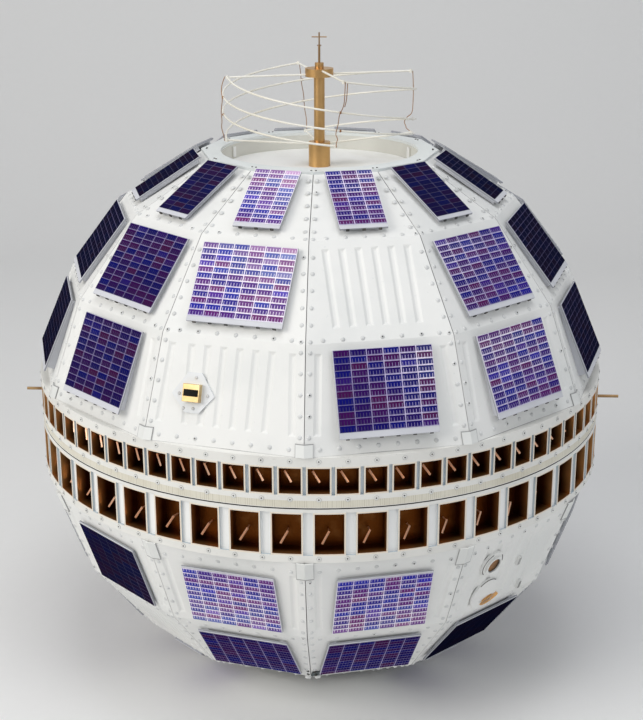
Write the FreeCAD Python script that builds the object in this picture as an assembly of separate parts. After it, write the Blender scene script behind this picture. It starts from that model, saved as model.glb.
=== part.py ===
import FreeCAD, Part
import math
import os

# Faceted, spin stabilised communications satellite, millimetres, +Z along the spin axis.
# Heights below are measured from the equator joint; every piece is lifted to stand on z = 0.
# Azimuth 0 is the -Y side and grows towards +X; azimuth 0 is a seam between two gores.

# Body outline
CORNER_SPHERE_R = 438.15      # sphere through the corners of the facets, 34.5 inches across
GORES = 12                    # flat sided sectors round the body
LAT_HIGH = 47.75              # latitude of the bend between rows B and C
LAT_MID = 28.6                # latitude of the bend between rows A and B
CAP_CORNER_R = 178.0          # corner radius of the end plates
CAP_Z = 394.4                 # top face of the top end plate
BELT_R = 431.0                # outside radius of the antenna belt
FOOT_PROUD = 3.5              # the corners where row A stands on the belt, beyond it
BELT_TOP_Z = 73.0             # top face of the belt
BELT_BOTTOM_Z = -77.0         # underside of the belt
SKIN_T = 2.5                  # thickness of the gore sheets
SEAM_GAP = 0.8                # open joint between neighbouring gores
CAP_T = 4.0                   # thickness of the end plates

# Stiffening beads pressed into the gore sheets
BEAD_W = 11.0
BEAD_PROFILE = ((-1.0, -0.4), (1.3, 0.5), (3.3, 1.45), (4.4, 1.7))     # in from the edge, and how deep there
BEAD_PITCH = 22.4
BEADS_PER_BLANK = 6
BEAD_START = {"C": 20.0, "B": 20.0, "A": 26.0}      # from the belt side edge of the facet
BEAD_END_MARGIN = 12.0        # from the pole side edge of the facet
SIDE_BEAD_INSET = 17.0        # side beads of row A, from the seam

# Cell panels
CELL_COLUMN_W = 22.3
WIDE_COLUMNS = 6
NARROW_COLUMNS = 3
PANEL_T = 3.2
RAIL_W = 6.0                  # two rails carry a panel
RAIL_INSET = 10.0
RAIL_START = 5.0
# A panel's start from the belt side edge, its height, and the gap under its two edges, belt side first
UPPER_PANELS = {"C": (11.0, 112.0, 6.0, 6.0), "B": (15.5, 114.5, 6.5, 5.0), "A": (20.5, 115.5, 12.5, 4.0)}
LOWER_PANELS = {"C": (14.0, 104.8, 3.0, 3.0), "B": (21.7, 104.8, 3.0, 3.0), "A": (31.7, 104.8, 3.0, 3.0)}

# Facets without cells, as gore numbers counted from azimuth 0
GORE_R1, GORE_R2, GORE_L1, GORE_L2 = 0, 1, 11, 10
HALF_TURN = GORES // 2
UPPER_BLANK = {"C": (), "B": (GORE_R1,), "A": (GORE_L1,)}
LOWER_BLANK = {"C": (GORE_R1, GORE_L1), "B": (GORE_L2,), "A": (GORE_R2,)}

# Cover plates over the belt end of each seam
COVER_HALF_W = 12.0
COVER_T = 1.6
COVER_LAP = 0.6               # the two halves of a cover run this far past the seam
COVER_UPPER_H = 18.0
COVER_LOWER_H = 30.0

# Antenna belt
RING_DEPTH = 29.0
CAVITY_DEPTH = 26.0
CAVITY_RIM = 2.0
GROOVE_DEPTH = 4.5
RX_LAND_MIN = 4.0             # least land between two boxes; as many fit in a gore as it allows
RX_OPEN_W = 28.9
RX_OPEN_LOW_Z = 21.8
RX_OPEN_HIGH_Z = 57.4
RX_PHASE = 2.5
TX_LAND_MIN = 12.0
TX_OPEN_W = 38.9
TX_OPEN_LOW_Z = -64.4
TX_OPEN_HIGH_Z = -7.1
TX_PHASE = 4.35
GROOVE_OVER = 2.2             # the grooves reach this far past the openings
JOINT_GAP = 1.8               # open joint at the equator
JOINT_GAP_DEPTH = 6.0
BAND_LOW_Z = 2.6
BAND_HIGH_Z = 12.4
BAND_T = 1.4
PROBE_W = 2.2
RX_PROBE_ACROSS = 9.3         # sideways from the probe's upper end to its lower end
RX_PROBE_DROP = 14.2
RX_PROBE_Z = 42.5
RX_PROBE_SIDE = -3.5          # its middle, from the middle of the box
RX_PROBE_IN = 9.0             # and behind the belt's outside
TX_PROBE_ACROSS = -9.7
TX_PROBE_DROP = 16.5
TX_PROBE_Z = -46.0
TX_PROBE_SIDE = -4.7
TX_PROBE_IN = 12.5
PROBE_LEAN_OUT = 4.5          # the lower end stands nearer to the opening
STALK_W = 1.4

# Top well and mast
WELL_R = 147.5
WELL_WALL = 1.5
WELL_DEPTH = 25.0
WELL_FLANGE_R = 160.0
WELL_SHEET = 2.0
SLEEVE_R = 16.1
SLEEVE_SHOWN = 11.1           # the sleeve stands this far above the top plate
SLEEVE_FLANGE_R = 26.0
SLEEVE_FLANGE_T = 3.0
SLEEVE_BELOW = 14.0
TUBE_R = 8.0
TUBE_WALL = 1.5
TUBE_IN_SLEEVE = 18.0
TUBE_SHOWN = 96.7
HUB_R = 20.9
HUB_H = 11.8
HUB_NECK_R = 6.6
HUB_NECK_H = 8.0
ARM_SOCKET = 7.0
TIP_ROD_R = 1.7
TIP_ROD_H = 25.5
TIP_ROD_THIN_R = 1.1
TIP_ROD_THIN_H = 18.0
TIP_BAR_DROP = 6.5            # from the rod's end down to its cross bar
TIP_BAR_LENGTH = 22.0
TIP_BAR_R = 0.8
TIP_COLLAR_R = 3.2
TIP_COLLAR_H = 1.2

# Helical antenna; arms are listed as left, front, right and back
HELIX_R = 143.5
TOP_REACH = (137.5, 142.0, 141.0, 138.0)       # from the axis to the arms' tips
LOW_REACH = (138.8, 142.0, 140.0, 138.0)
WIRE_R = 1.5
ARMS = 4
TOP_ARM_AZ = -73.5
HELIX_TURN = 265.5            # degrees from the top arm to the bottom arm of one wire
COIL_RUNS = 20
COIL_SPRING = 0.6
TOP_ARM_UP = (2.8, 9.5, 3.2, 3.2)             # above the hub's underside
LOW_ARM_DROP = 3.2                            # inner ends of the low arms, below the sleeve's top
LOW_TIP_UP = (9.6, 20.8, 12.5, -2.8)          # their tips, above their inner ends
FERRULE_R = 2.3
FERRULE_H = 5.0
TIE_R = 0.6
TIE_BOW = 1.2                 # the lashing hangs out this far between two wires
TIE_SLACK = (1.0, 2.0, 3.0)   # and this many degrees to one side

# Sun sensors
SENSOR_U = -47.0
SENSOR_V = 68.4
SENSOR_BASE_V = 68.8
SENSOR_W = 23.6
SENSOR_H = 23.8
SENSOR_D = 9.0
SENSOR_CHAMFER = 0.5
SENSOR_SLOT_W = 20.6
SENSOR_SLOT = 9.2
SENSOR_SLOT_D = 6.0
SENSOR_BASE_W = 60.0
SENSOR_BASE_H = 53.5
SENSOR_BASE_SAG = 2.8          # its side corners lie this far below its middle
SENSOR_BASE_T = 2.4
SENSOR_BASE_FLAT = 19.0

# Service port and covered window
PORT_U = -43.0
PORT_V = 55.5
PORT_R = 12.0
PORT_RING_R = 21.0
PORT_RING_T = 4.0
PORT_DEPTH = 7.5
PORT_WALL = 2.5
PORT_FLOOR = 1.0
WINDOW_U = -33.0
WINDOW_V = 116.5
WINDOW_R = 27.0
WINDOW_T = 3.0
WINDOW_SLOT_W = 26.0
WINDOW_SLOT_H = 9.0
WINDOW_SLOT_SIDE = 6.0        # its middle, from the window's
WINDOW_SLOT_UP = 11.0
PLUG_W = 5.0
PLUG_L = 15.0
PLUG_H = 4.0
PLUGS = ((24.5, 77.0), (49.0, 133.0))

# Side pins on the belt, for handling
PIN_R = 2.3
PIN_LENGTH = 35.25
PIN_FLANGE_R = 5.0
PIN_FLANGE_T = 1.5
PIN_Z = 7.5

# Bottom attach ring
ATTACH_OUT_R = 125.0
ATTACH_IN_R = 108.0
ATTACH_H = 12.0
ATTACH_BOLTS = 12
ATTACH_PCD = 233.0
ATTACH_HOLE_R = 3.3

# Electronics canister and its struts
CANISTER_H = 400.0
STRUTS = 6
STRUT_LENGTH = 167.0
STRUT_W = 18.0
STRUT_T = 18.0
SEAT = 0.25                   # clearance of a seated curved joint
PAST = 5.0                    # how far a cut runs past the piece it opens
WEDGE_PAST = 1.2              # the sector runs this far past the corner sphere

# Worked out from the above
HALF_GORE = 180.0 / GORES
APOTHEM = math.cos(math.radians(HALF_GORE))
BELT_MID_Z = (BELT_TOP_Z + BELT_BOTTOM_Z) / 2
FOOT_CORNER_R = BELT_R + FOOT_PROUD
GORE_ARC = 2 * math.pi * BELT_R / GORES
RX_COUNT = GORES * int(GORE_ARC / (RX_OPEN_W + 2 * CAVITY_RIM + RX_LAND_MIN))
TX_COUNT = GORES * int(GORE_ARC / (TX_OPEN_W + 2 * CAVITY_RIM + TX_LAND_MIN))
RING_IN_R = BELT_R - RING_DEPTH
CANISTER_R = RING_IN_R - STRUT_LENGTH - 2 * SEAT
FLOOR_Z = 2 * BELT_MID_Z - CAP_Z - ATTACH_H
LIFT = -FLOOR_Z
WELL_FLOOR_Z = CAP_Z - WELL_DEPTH
SLEEVE_TOP_Z = CAP_Z + SLEEVE_SHOWN
HUB_LOW_Z = SLEEVE_TOP_Z + TUBE_SHOWN
HUB_HIGH_Z = HUB_LOW_Z + HUB_H
HUB_NECK_TOP_Z = HUB_HIGH_Z + HUB_NECK_H
TIP_ROD_STEP_Z = HUB_NECK_TOP_Z + TIP_ROD_H
TIP_ROD_TOP_Z = TIP_ROD_STEP_Z + TIP_ROD_THIN_H
TIP_BAR_Z = TIP_ROD_TOP_Z - TIP_BAR_DROP
LOW_ARM_Z = SLEEVE_TOP_Z - LOW_ARM_DROP
TOP_TIPS_Z = [HUB_LOW_Z + up for up in TOP_ARM_UP]
LOW_TIPS_Z = [LOW_ARM_Z + up for up in LOW_TIP_UP]
PIECES = {}


X_AXIS = FreeCAD.Vector(1, 0, 0)


def at(radius, azimuth, height):
    """Point at a radius and height on a given azimuth."""
    angle = math.radians(azimuth)
    return FreeCAD.Vector(radius * math.sin(angle), -radius * math.cos(angle), height)


def turned(shape, azimuth):
    """Copy of a shape that was drawn about +X, turned to an azimuth."""
    copy = shape.copy()
    copy.rotate(FreeCAD.Vector(0, 0, 0), FreeCAD.Vector(0, 0, 1), azimuth - 90)
    return copy


def below(shape):
    """Mirror image of an upper piece in the mid plane of the belt."""
    return shape.mirror(FreeCAD.Vector(0, 0, BELT_MID_Z), FreeCAD.Vector(0, 0, 1))


def keep(name, shape):
    """Lift a finished piece on to the floor and store it under its name."""
    piece = shape.copy()
    piece.translate(FreeCAD.Vector(0, 0, LIFT))
    PIECES[name] = piece


def fused(shapes):
    first, rest = shapes[0], shapes[1:]
    return first.fuse(rest).removeSplitter() if rest else first


def disc(radius, low_z, high_z):
    return Part.makeCylinder(radius, high_z - low_z, FreeCAD.Vector(0, 0, low_z))


def polygon_plate(corner_radius, low_z, high_z):
    """Flat plate with one side per gore."""
    points = [at(corner_radius, i * 360.0 / GORES, low_z) for i in range(GORES + 1)]
    return Part.Face(Part.makePolygon(points)).extrude(FreeCAD.Vector(0, 0, high_z - low_z))


# Facet rows

def row_edges():
    """Corner radius and height of the four edges of a hemisphere, from the belt to the cap."""
    high, mid = math.radians(LAT_HIGH), math.radians(LAT_MID)
    return [
        (FOOT_CORNER_R, BELT_TOP_Z),
        (CORNER_SPHERE_R * math.cos(mid), CORNER_SPHERE_R * math.sin(mid)),
        (CORNER_SPHERE_R * math.cos(high), CORNER_SPHERE_R * math.sin(high)),
        (CAP_CORNER_R, CAP_Z - CAP_T),
    ]


EDGES = row_edges()
ROWS = ("A", "B", "C")


class Facet:
    """Flat facet of an upper gore drawn about +X: u to the right seen from outside, v to the pole."""

    def __init__(self, row):
        first = ROWS.index(row)
        (low_r, low_z), (high_r, high_z) = EDGES[first], EDGES[first + 1]
        low = FreeCAD.Vector(low_r * APOTHEM, 0, low_z)
        high = FreeCAD.Vector(high_r * APOTHEM, 0, high_z)
        self.length = (high - low).Length
        self.low_half = low_r * math.sin(math.radians(HALF_GORE))
        self.high_half = high_r * math.sin(math.radians(HALF_GORE))
        across = FreeCAD.Vector(0, 1, 0)
        slope = (high - low).normalize()
        normal = across.cross(slope)
        self.place = FreeCAD.Placement(FreeCAD.Matrix(
            across.x, slope.x, normal.x, low.x,
            across.y, slope.y, normal.y, low.y,
            across.z, slope.z, normal.z, low.z,
            0, 0, 0, 1))

    def half_width(self, v):
        return self.low_half + (self.high_half - self.low_half) * v / self.length

    def put(self, shape):
        copy = shape.copy()
        copy.Placement = self.place.multiply(copy.Placement)
        return copy


FACETS = {row: Facet(row) for row in ROWS}


def prism(points, low, high):
    """Straight prism over an outline given in the facet's own u and v."""
    outline = [FreeCAD.Vector(u, v, low) for u, v in points]
    face = Part.Face(Part.makePolygon(outline + [outline[0]]))
    return face.extrude(FreeCAD.Vector(0, 0, high - low))


def rectangle(centre_u, low_v, width, height):
    left, right = centre_u - width / 2, centre_u + width / 2
    return [(left, low_v), (right, low_v), (right, low_v + height), (left, low_v + height)]


# Gore sheets

def gore_profile():
    """Bent sheet in the mid plane of a gore, with level ends on belt and cap."""
    outer = [(r * APOTHEM, z) for r, z in EDGES]
    lines = []
    for (x0, z0), (x1, z1) in zip(outer, outer[1:]):
        length = math.hypot(x1 - x0, z1 - z0)
        nx, nz = -(z1 - z0) / length * SKIN_T, (x1 - x0) / length * SKIN_T
        lines.append(((x0 + nx, z0 + nz), (x1 - x0, z1 - z0)))
    inner = []
    point, way = lines[0]
    inner.append((point[0] + way[0] * (outer[0][1] - point[1]) / way[1], outer[0][1]))
    for (p, d), (q, e) in zip(lines, lines[1:]):
        step = ((q[0] - p[0]) * e[1] - (q[1] - p[1]) * e[0]) / (d[0] * e[1] - d[1] * e[0])
        inner.append((p[0] + d[0] * step, p[1] + d[1] * step))
    point, way = lines[-1]
    inner.append((point[0] + way[0] * (outer[-1][1] - point[1]) / way[1], outer[-1][1]))
    outline = [FreeCAD.Vector(x, 0, z) for x, z in outer + inner[::-1]]
    return Part.Face(Part.makePolygon(outline + [outline[0]]))


def gore_wedge():
    """Sector between the two seam planes, drawn about +X."""
    half = math.radians(HALF_GORE)
    reach = CORNER_SPHERE_R * WEDGE_PAST
    apex = SEAM_GAP / 2 / math.sin(half)
    side = (reach - apex) * math.tan(half)
    top = CAP_Z + CAP_T
    corners = [FreeCAD.Vector(apex, 0, 0), FreeCAD.Vector(reach, -side, 0), FreeCAD.Vector(reach, side, 0)]
    return Part.Face(Part.makePolygon(corners + [corners[0]])).extrude(FreeCAD.Vector(0, 0, top))


def bead(start, end):
    """Body that presses a shallow bead with sloping sides and ends, along a line in the facet."""
    (u0, v0), (u1, v1) = start, end
    length = math.hypot(u1 - u0, v1 - v0)
    wires = []
    for inset, depth in BEAD_PROFILE:
        outline = rectangle(0, inset, BEAD_W - 2 * inset, length - 2 * inset)
        points = [FreeCAD.Vector(u, v, -depth) for u, v in outline]
        wires.append(Part.makePolygon(points + [points[0]]))
    shape = Part.makeLoft(wires, True, True)
    angle = math.degrees(math.atan2(u1 - u0, v1 - v0))
    shape.rotate(FreeCAD.Vector(0, 0, 0), FreeCAD.Vector(0, 0, 1), -angle)
    shape.translate(FreeCAD.Vector(u0, v0, 0))
    return shape


def row_beads(row, blank):
    facet = FACETS[row]
    top = facet.length - BEAD_END_MARGIN
    lines = []
    if blank:
        first = -BEAD_PITCH * (BEADS_PER_BLANK - 1) / 2
        lines += [((first + i * BEAD_PITCH, BEAD_START[row]), (first + i * BEAD_PITCH, top))
                  for i in range(BEADS_PER_BLANK)]
    if row == "A":
        for side in (-1, 1):
            low_u = side * (facet.half_width(BEAD_START[row]) - SIDE_BEAD_INSET)
            high_u = side * (facet.half_width(top) - SIDE_BEAD_INSET)
            lines.append(((low_u, BEAD_START[row]), (high_u, top)))
    return [facet.put(bead(*line)) for line in lines]


def plain_gore():
    width = CORNER_SPHERE_R
    sheet = gore_profile()
    sheet.translate(FreeCAD.Vector(0, -width / 2, 0))
    return sheet.extrude(FreeCAD.Vector(0, width, 0)).common(gore_wedge())


def is_blank(gore, blanks):
    return any(gore % HALF_TURN == b % HALF_TURN for b in blanks)


def gore(number, blanks, sheet):
    beads = row_beads("A", is_blank(number, blanks["A"]))
    if is_blank(number, blanks["B"]):
        beads += row_beads("B", True)
    return sheet.cut(beads)


def gore_azimuth(number):
    return (number + 0.5) * 360.0 / GORES


# Cell panels

def panel(row, spots):
    """Thin tray of cells that stands off the sheet on two rails."""
    columns = NARROW_COLUMNS if row == "C" else WIDE_COLUMNS
    width = columns * CELL_COLUMN_W
    start, height, low, high = spots[row]
    tray = Part.makeBox(width, height, PANEL_T, FreeCAD.Vector(-width / 2, 0, 0))
    slope = math.degrees(math.asin((high - low) / height))
    tray.Placement = FreeCAD.Placement(FreeCAD.Vector(0, start, low), FreeCAD.Rotation(X_AXIS, slope))
    parts = [tray]
    for side in (-1, 1):
        left = side * (width / 2 - RAIL_INSET) - RAIL_W / 2
        ends = [start + RAIL_START, start + height - RAIL_START]
        tops = [low + (high - low) * (v - start) / height + PANEL_T / 2 for v in ends]
        corners = [(ends[0], 0), (ends[1], 0), (ends[1], tops[1]), (ends[0], tops[0])]
        points = [FreeCAD.Vector(left, v, z) for v, z in corners + corners[:1]]
        parts.append(Part.Face(Part.makePolygon(points)).extrude(X_AXIS * RAIL_W))
    return FACETS[row].put(fused(parts))


def panel_row(row, blanks, spots):
    return [turned(panel(row, spots), gore_azimuth(i)) for i in range(GORES) if not is_blank(i, blanks[row])]


# Seam covers

def seam_cover(height):
    """Folded plate over the belt end of the seam at azimuth 90, half on each facet."""
    facet = FACETS["A"]
    halves = []
    for side in (-1, 1):
        low, high = facet.half_width(0), facet.half_width(height)
        outline = [(-side * (low - COVER_HALF_W), 0), (-side * (low + COVER_LAP), 0),
                   (-side * (high + COVER_LAP), height), (-side * (high - COVER_HALF_W), height)]
        if side > 0:
            outline.reverse()
        halves.append(turned(facet.put(prism(outline, 0, COVER_T)), 90 + side * HALF_GORE))
    return halves[0].fuse(halves[1])


# Antenna belt

def box_about_x(radius_in, radius_out, width, low_z, high_z):
    return Part.makeBox(radius_out - radius_in, width, high_z - low_z,
                        FreeCAD.Vector(radius_in, -width / 2, low_z))


def cavities(count, phase, width, low_z, high_z):
    """Rectangular cavities round the belt, open to the outside."""
    cut = box_about_x(BELT_R - CAVITY_DEPTH, BELT_R + PAST, width, low_z, high_z)
    return [turned(cut, phase + i * 360.0 / count) for i in range(count)]


def land_width(count, width):
    """Room between two cavity boxes, outside their rims."""
    return 2 * math.pi * BELT_R / count - width - 2 * CAVITY_RIM


def open_grooves(count, phase, width, low_z, high_z):
    """Recesses over the whole land between the cavity boxes."""
    cut = box_about_x(BELT_R - GROOVE_DEPTH, BELT_R + PAST, land_width(count, width),
                      low_z - GROOVE_OVER, high_z + GROOVE_OVER)
    return [turned(cut, phase + (i + 0.5) * 360.0 / count) for i in range(count)]


def ring(low_z, high_z, radius_in=RING_IN_R, radius_out=BELT_R):
    return disc(radius_out, low_z, high_z).cut(disc(radius_in, low_z - PAST, high_z + PAST))


def receive_ring():
    body = ring(JOINT_GAP, BELT_TOP_Z)
    cuts = cavities(RX_COUNT, RX_PHASE, RX_OPEN_W, RX_OPEN_LOW_Z, RX_OPEN_HIGH_Z)
    cuts += open_grooves(RX_COUNT, RX_PHASE, RX_OPEN_W, RX_OPEN_LOW_Z, RX_OPEN_HIGH_Z)
    cuts.append(ring(BAND_LOW_Z, BAND_HIGH_Z, BELT_R - BAND_T, BELT_R + PAST))
    return body.cut(cuts)


def transmit_ring():
    body = ring(BELT_BOTTOM_Z, JOINT_GAP)
    cuts = cavities(TX_COUNT, TX_PHASE, TX_OPEN_W, TX_OPEN_LOW_Z, TX_OPEN_HIGH_Z)
    cuts += open_grooves(TX_COUNT, TX_PHASE, TX_OPEN_W, TX_OPEN_LOW_Z, TX_OPEN_HIGH_Z)
    cuts.append(ring(0, JOINT_GAP + PAST, BELT_R - JOINT_GAP_DEPTH, BELT_R + PAST))
    return body.cut(cuts)


def rod(start, end, radius):
    way = end - start
    return Part.makeCylinder(radius, way.Length, start, way)


def bar(start, end, width):
    """Square bar between two points."""
    way = end - start
    shape = Part.makeBox(width, width, way.Length, FreeCAD.Vector(-width / 2, -width / 2, 0))
    shape.Placement = FreeCAD.Placement(start, FreeCAD.Rotation(FreeCAD.Vector(0, 0, 1), way))
    return shape


def probes(count, phase, across, drop, spot):
    """Slanted probe in each cavity, on a thin stalk from the back wall."""
    side, depth, middle_z = spot
    middle = FreeCAD.Vector(BELT_R - depth, side, middle_z)
    slant = FreeCAD.Vector(PROBE_LEAN_OUT / 2, across / 2, -drop / 2)
    upper = middle - slant
    foot = FreeCAD.Vector(BELT_R - CAVITY_DEPTH, upper.y, upper.z)
    along = slant.normalize() * STALK_W
    one = bar(upper, middle + middle - upper, PROBE_W).fuse(bar(foot + along, upper + along, STALK_W))
    return [turned(one, phase + i * 360.0 / count) for i in range(count)]


# Top well and mast

def well_pan():
    outer = disc(WELL_R, WELL_FLOOR_Z - WELL_SHEET, CAP_Z - CAP_T)
    lip = disc(WELL_FLANGE_R, CAP_Z - CAP_T - WELL_SHEET, CAP_Z - CAP_T)
    inside = disc(WELL_R - WELL_WALL, WELL_FLOOR_Z, CAP_Z)
    hole = disc(SLEEVE_R + SEAT, WELL_FLOOR_Z - WELL_SHEET - PAST, CAP_Z)
    return outer.fuse(lip).cut([inside, hole])


def mast_sleeve():
    under = WELL_FLOOR_Z - WELL_SHEET
    body = disc(SLEEVE_R, under - SLEEVE_BELOW, SLEEVE_TOP_Z)
    flange = disc(SLEEVE_FLANGE_R, under - SLEEVE_FLANGE_T, under)
    bore = disc(TUBE_R + SEAT, SLEEVE_TOP_Z - TUBE_IN_SLEEVE, SLEEVE_TOP_Z + PAST)
    sockets = [arm_socket(*low_arm_line(i)) for i in range(ARMS)]
    return body.fuse(flange).cut([bore] + sockets)


def mast_tube():
    low, high = SLEEVE_TOP_Z - TUBE_IN_SLEEVE, HUB_LOW_Z
    return disc(TUBE_R, low, high).cut(disc(TUBE_R - TUBE_WALL, low - PAST, high + PAST))


def hub():
    body = disc(HUB_R, HUB_LOW_Z, HUB_HIGH_Z).fuse(disc(HUB_NECK_R, HUB_HIGH_Z, HUB_NECK_TOP_Z))
    sockets = [arm_socket(*top_arm_line(i)) for i in range(ARMS)]
    return body.cut(sockets)


def tip_rod():
    parts = [disc(TIP_ROD_R, HUB_NECK_TOP_Z, TIP_ROD_STEP_Z)]
    parts.append(disc(TIP_ROD_THIN_R, TIP_ROD_STEP_Z, TIP_ROD_TOP_Z))
    parts.append(disc(TIP_COLLAR_R, TIP_ROD_STEP_Z - TIP_COLLAR_H, TIP_ROD_STEP_Z))
    half = TIP_BAR_LENGTH / 2
    parts.append(rod(FreeCAD.Vector(-half, 0, TIP_BAR_Z), FreeCAD.Vector(half, 0, TIP_BAR_Z), TIP_BAR_R))
    return fused(parts)


# Helical antenna

def top_arm_azimuth(i):
    return TOP_ARM_AZ + i * 360.0 / ARMS


def low_arm_azimuth(i):
    """Bottom arm i stands under top arm i, short of it by what the turn falls short of 270 degrees."""
    return top_arm_azimuth(i) + HELIX_TURN - 270


def top_arm_line(i):
    azimuth, height = top_arm_azimuth(i), TOP_TIPS_Z[i]
    return at(HUB_R - ARM_SOCKET, azimuth, height), at(TOP_REACH[i], azimuth, height)


def low_arm_line(i):
    azimuth = low_arm_azimuth(i)
    return at(SLEEVE_R - ARM_SOCKET, azimuth, LOW_ARM_Z), at(LOW_REACH[i], azimuth, LOW_TIPS_Z[i])


def arm_socket(inner, tip):
    """Hole that takes the inner end of an arm."""
    way = (tip - inner).normalize()
    return rod(inner, inner + way * (ARM_SOCKET + PAST), WIRE_R + SEAT)


def helix_arm(inner, tip):
    """Arm from its socket to the upright ferrule that takes the coil."""
    way = (tip - inner).normalize()
    half = FreeCAD.Vector(0, 0, FERRULE_H / 2)
    return rod(inner + way * SEAT, tip, WIRE_R).fuse(rod(tip - half, tip + half, FERRULE_R))


def coil_end(i):
    """Number of the low arm that takes the wire of top arm i."""
    return (i + ARMS - 1) % ARMS


def coil_height(i, share):
    low_z = LOW_TIPS_Z[coil_end(i)]
    return low_z + (TOP_TIPS_Z[i] - low_z) * share


def coil_radius(low_r, high_r, share):
    """The coil springs out from its two tips to its full radius."""
    straight = low_r + (high_r - low_r) * share
    return straight + (HELIX_R - straight) * math.sin(math.pi * share) ** COIL_SPRING


def helix_coil(i):
    """Falling coil of one wire, bent in short runs from its top arm's ferrule to its bottom arm's."""
    low_azimuth = low_arm_azimuth(coil_end(i))
    inset = math.degrees((FERRULE_R + SEAT) / HELIX_R) / HELIX_TURN
    low_r, high_r = LOW_REACH[coil_end(i)], TOP_REACH[i]
    shares = [inset + (1 - 2 * inset) * n / COIL_RUNS for n in range(COIL_RUNS + 1)]
    points = [at(coil_radius(low_r, high_r, s), low_azimuth - HELIX_TURN * s, coil_height(i, s))
              for s in shares]
    section = Part.Wire(Part.makeCircle(WIRE_R, points[0], points[1] - points[0]))
    return Part.makePolygon(points).makePipeShell([section], True, False, 1)


def tie_knots(i):
    """Radius, azimuth and height where a lashing touches its arms' ferrules and the two coils between."""
    hug = TIE_R + SEAT / 2
    high_az, low_az = top_arm_azimuth(i), low_arm_azimuth(i)
    knots = [(TOP_REACH[i] + FERRULE_R + hug, high_az, TOP_TIPS_Z[i])]
    for k in (1, 2):
        wire, azimuth = (i - k) % ARMS, high_az + (low_az - high_az) * k / 3
        share = 1 - (k * 360.0 / ARMS + azimuth - high_az) / HELIX_TURN
        radius = coil_radius(LOW_REACH[coil_end(wire)], TOP_REACH[wire], share)
        knots.append((radius + WIRE_R + hug, azimuth, coil_height(wire, share)))
    return knots + [(LOW_REACH[i] + FERRULE_R + hug, low_az, LOW_TIPS_Z[i])]


def tie(i):
    """Slack lashing down the outside of the coil at one arm."""
    knots = tie_knots(i)
    points = [at(*knots[0])]
    for upper, lower, slack in zip(knots, knots[1:], TIE_SLACK):
        radius, azimuth, height = [(a + b) / 2 for a, b in zip(upper, lower)]
        points += [at(radius + TIE_BOW, azimuth + slack, height), at(*lower)]
    section = Part.Wire(Part.makeCircle(TIE_R, points[0], points[1] - points[0]))
    return Part.makePolygon(points).makePipeShell([section], True, False, 1)


# Sun sensors, service port and window

def sensor_base():
    half_w, half_h, flat = SENSOR_BASE_W / 2, SENSOR_BASE_H / 2, SENSOR_BASE_FLAT / 2
    side_v = SENSOR_BASE_V - SENSOR_BASE_SAG
    low_v, high_v = SENSOR_BASE_V - half_h, SENSOR_BASE_V + half_h
    outline = [(SENSOR_U - half_w, side_v), (SENSOR_U - flat, low_v), (SENSOR_U + flat, low_v),
               (SENSOR_U + half_w, side_v), (SENSOR_U + flat, high_v), (SENSOR_U - flat, high_v)]
    return prism(outline, 0, SENSOR_BASE_T)


def sun_sensor():
    low = SENSOR_BASE_T
    outline = rectangle(SENSOR_U, SENSOR_V - SENSOR_H / 2, SENSOR_W, SENSOR_H)
    housing = prism(outline, low, low + SENSOR_D)
    housing = housing.makeChamfer(SENSOR_CHAMFER, housing.Faces[-1].Edges)
    slot = prism(rectangle(SENSOR_U, SENSOR_V - SENSOR_SLOT / 2, SENSOR_SLOT_W, SENSOR_SLOT),
                 low + SENSOR_D - SENSOR_SLOT_D, low + SENSOR_D + PAST)
    return housing.cut(slot)


def disc_on_facet(u, v, radius, low, high):
    return Part.makeCylinder(radius, high - low, FreeCAD.Vector(u, v, low))


def port_ring():
    base = disc_on_facet(PORT_U, PORT_V, PORT_RING_R, 0, PORT_RING_T)
    neck = disc_on_facet(PORT_U, PORT_V, PORT_R + PORT_WALL, PORT_RING_T, PORT_DEPTH)
    bore = disc_on_facet(PORT_U, PORT_V, PORT_R, PORT_FLOOR, PORT_DEPTH + PAST)
    return base.fuse(neck).cut(bore)


def window_cover():
    plate = disc_on_facet(WINDOW_U, WINDOW_V, WINDOW_R, 0, WINDOW_T)
    slot = prism(rectangle(WINDOW_U + WINDOW_SLOT_SIDE, WINDOW_V + WINDOW_SLOT_UP - WINDOW_SLOT_H / 2,
                           WINDOW_SLOT_W, WINDOW_SLOT_H),
                 WINDOW_T / 2, WINDOW_T + PAST)
    return plate.cut(slot)


def plug(u, v):
    return prism(rectangle(u, v - PLUG_L / 2, PLUG_W, PLUG_L), 0, PLUG_H)


# Side pins, end plates, canister

def side_pin():
    seat = FreeCAD.Vector(BELT_R + SEAT, 0, PIN_Z)
    shoulder = seat + FreeCAD.Vector(PIN_FLANGE_T, 0, 0)
    shaft = rod(seat, shoulder + FreeCAD.Vector(PIN_LENGTH, 0, 0), PIN_R)
    flange = rod(seat, shoulder, PIN_FLANGE_R)
    return shaft.fuse(flange)


def bolt_holes(radius, count, pitch_radius, low_z, high_z):
    holes = []
    for i in range(count):
        centre = at(pitch_radius, (i + 0.5) * 360.0 / count, low_z)
        holes.append(Part.makeCylinder(radius, high_z - low_z, centre))
    return holes


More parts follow.
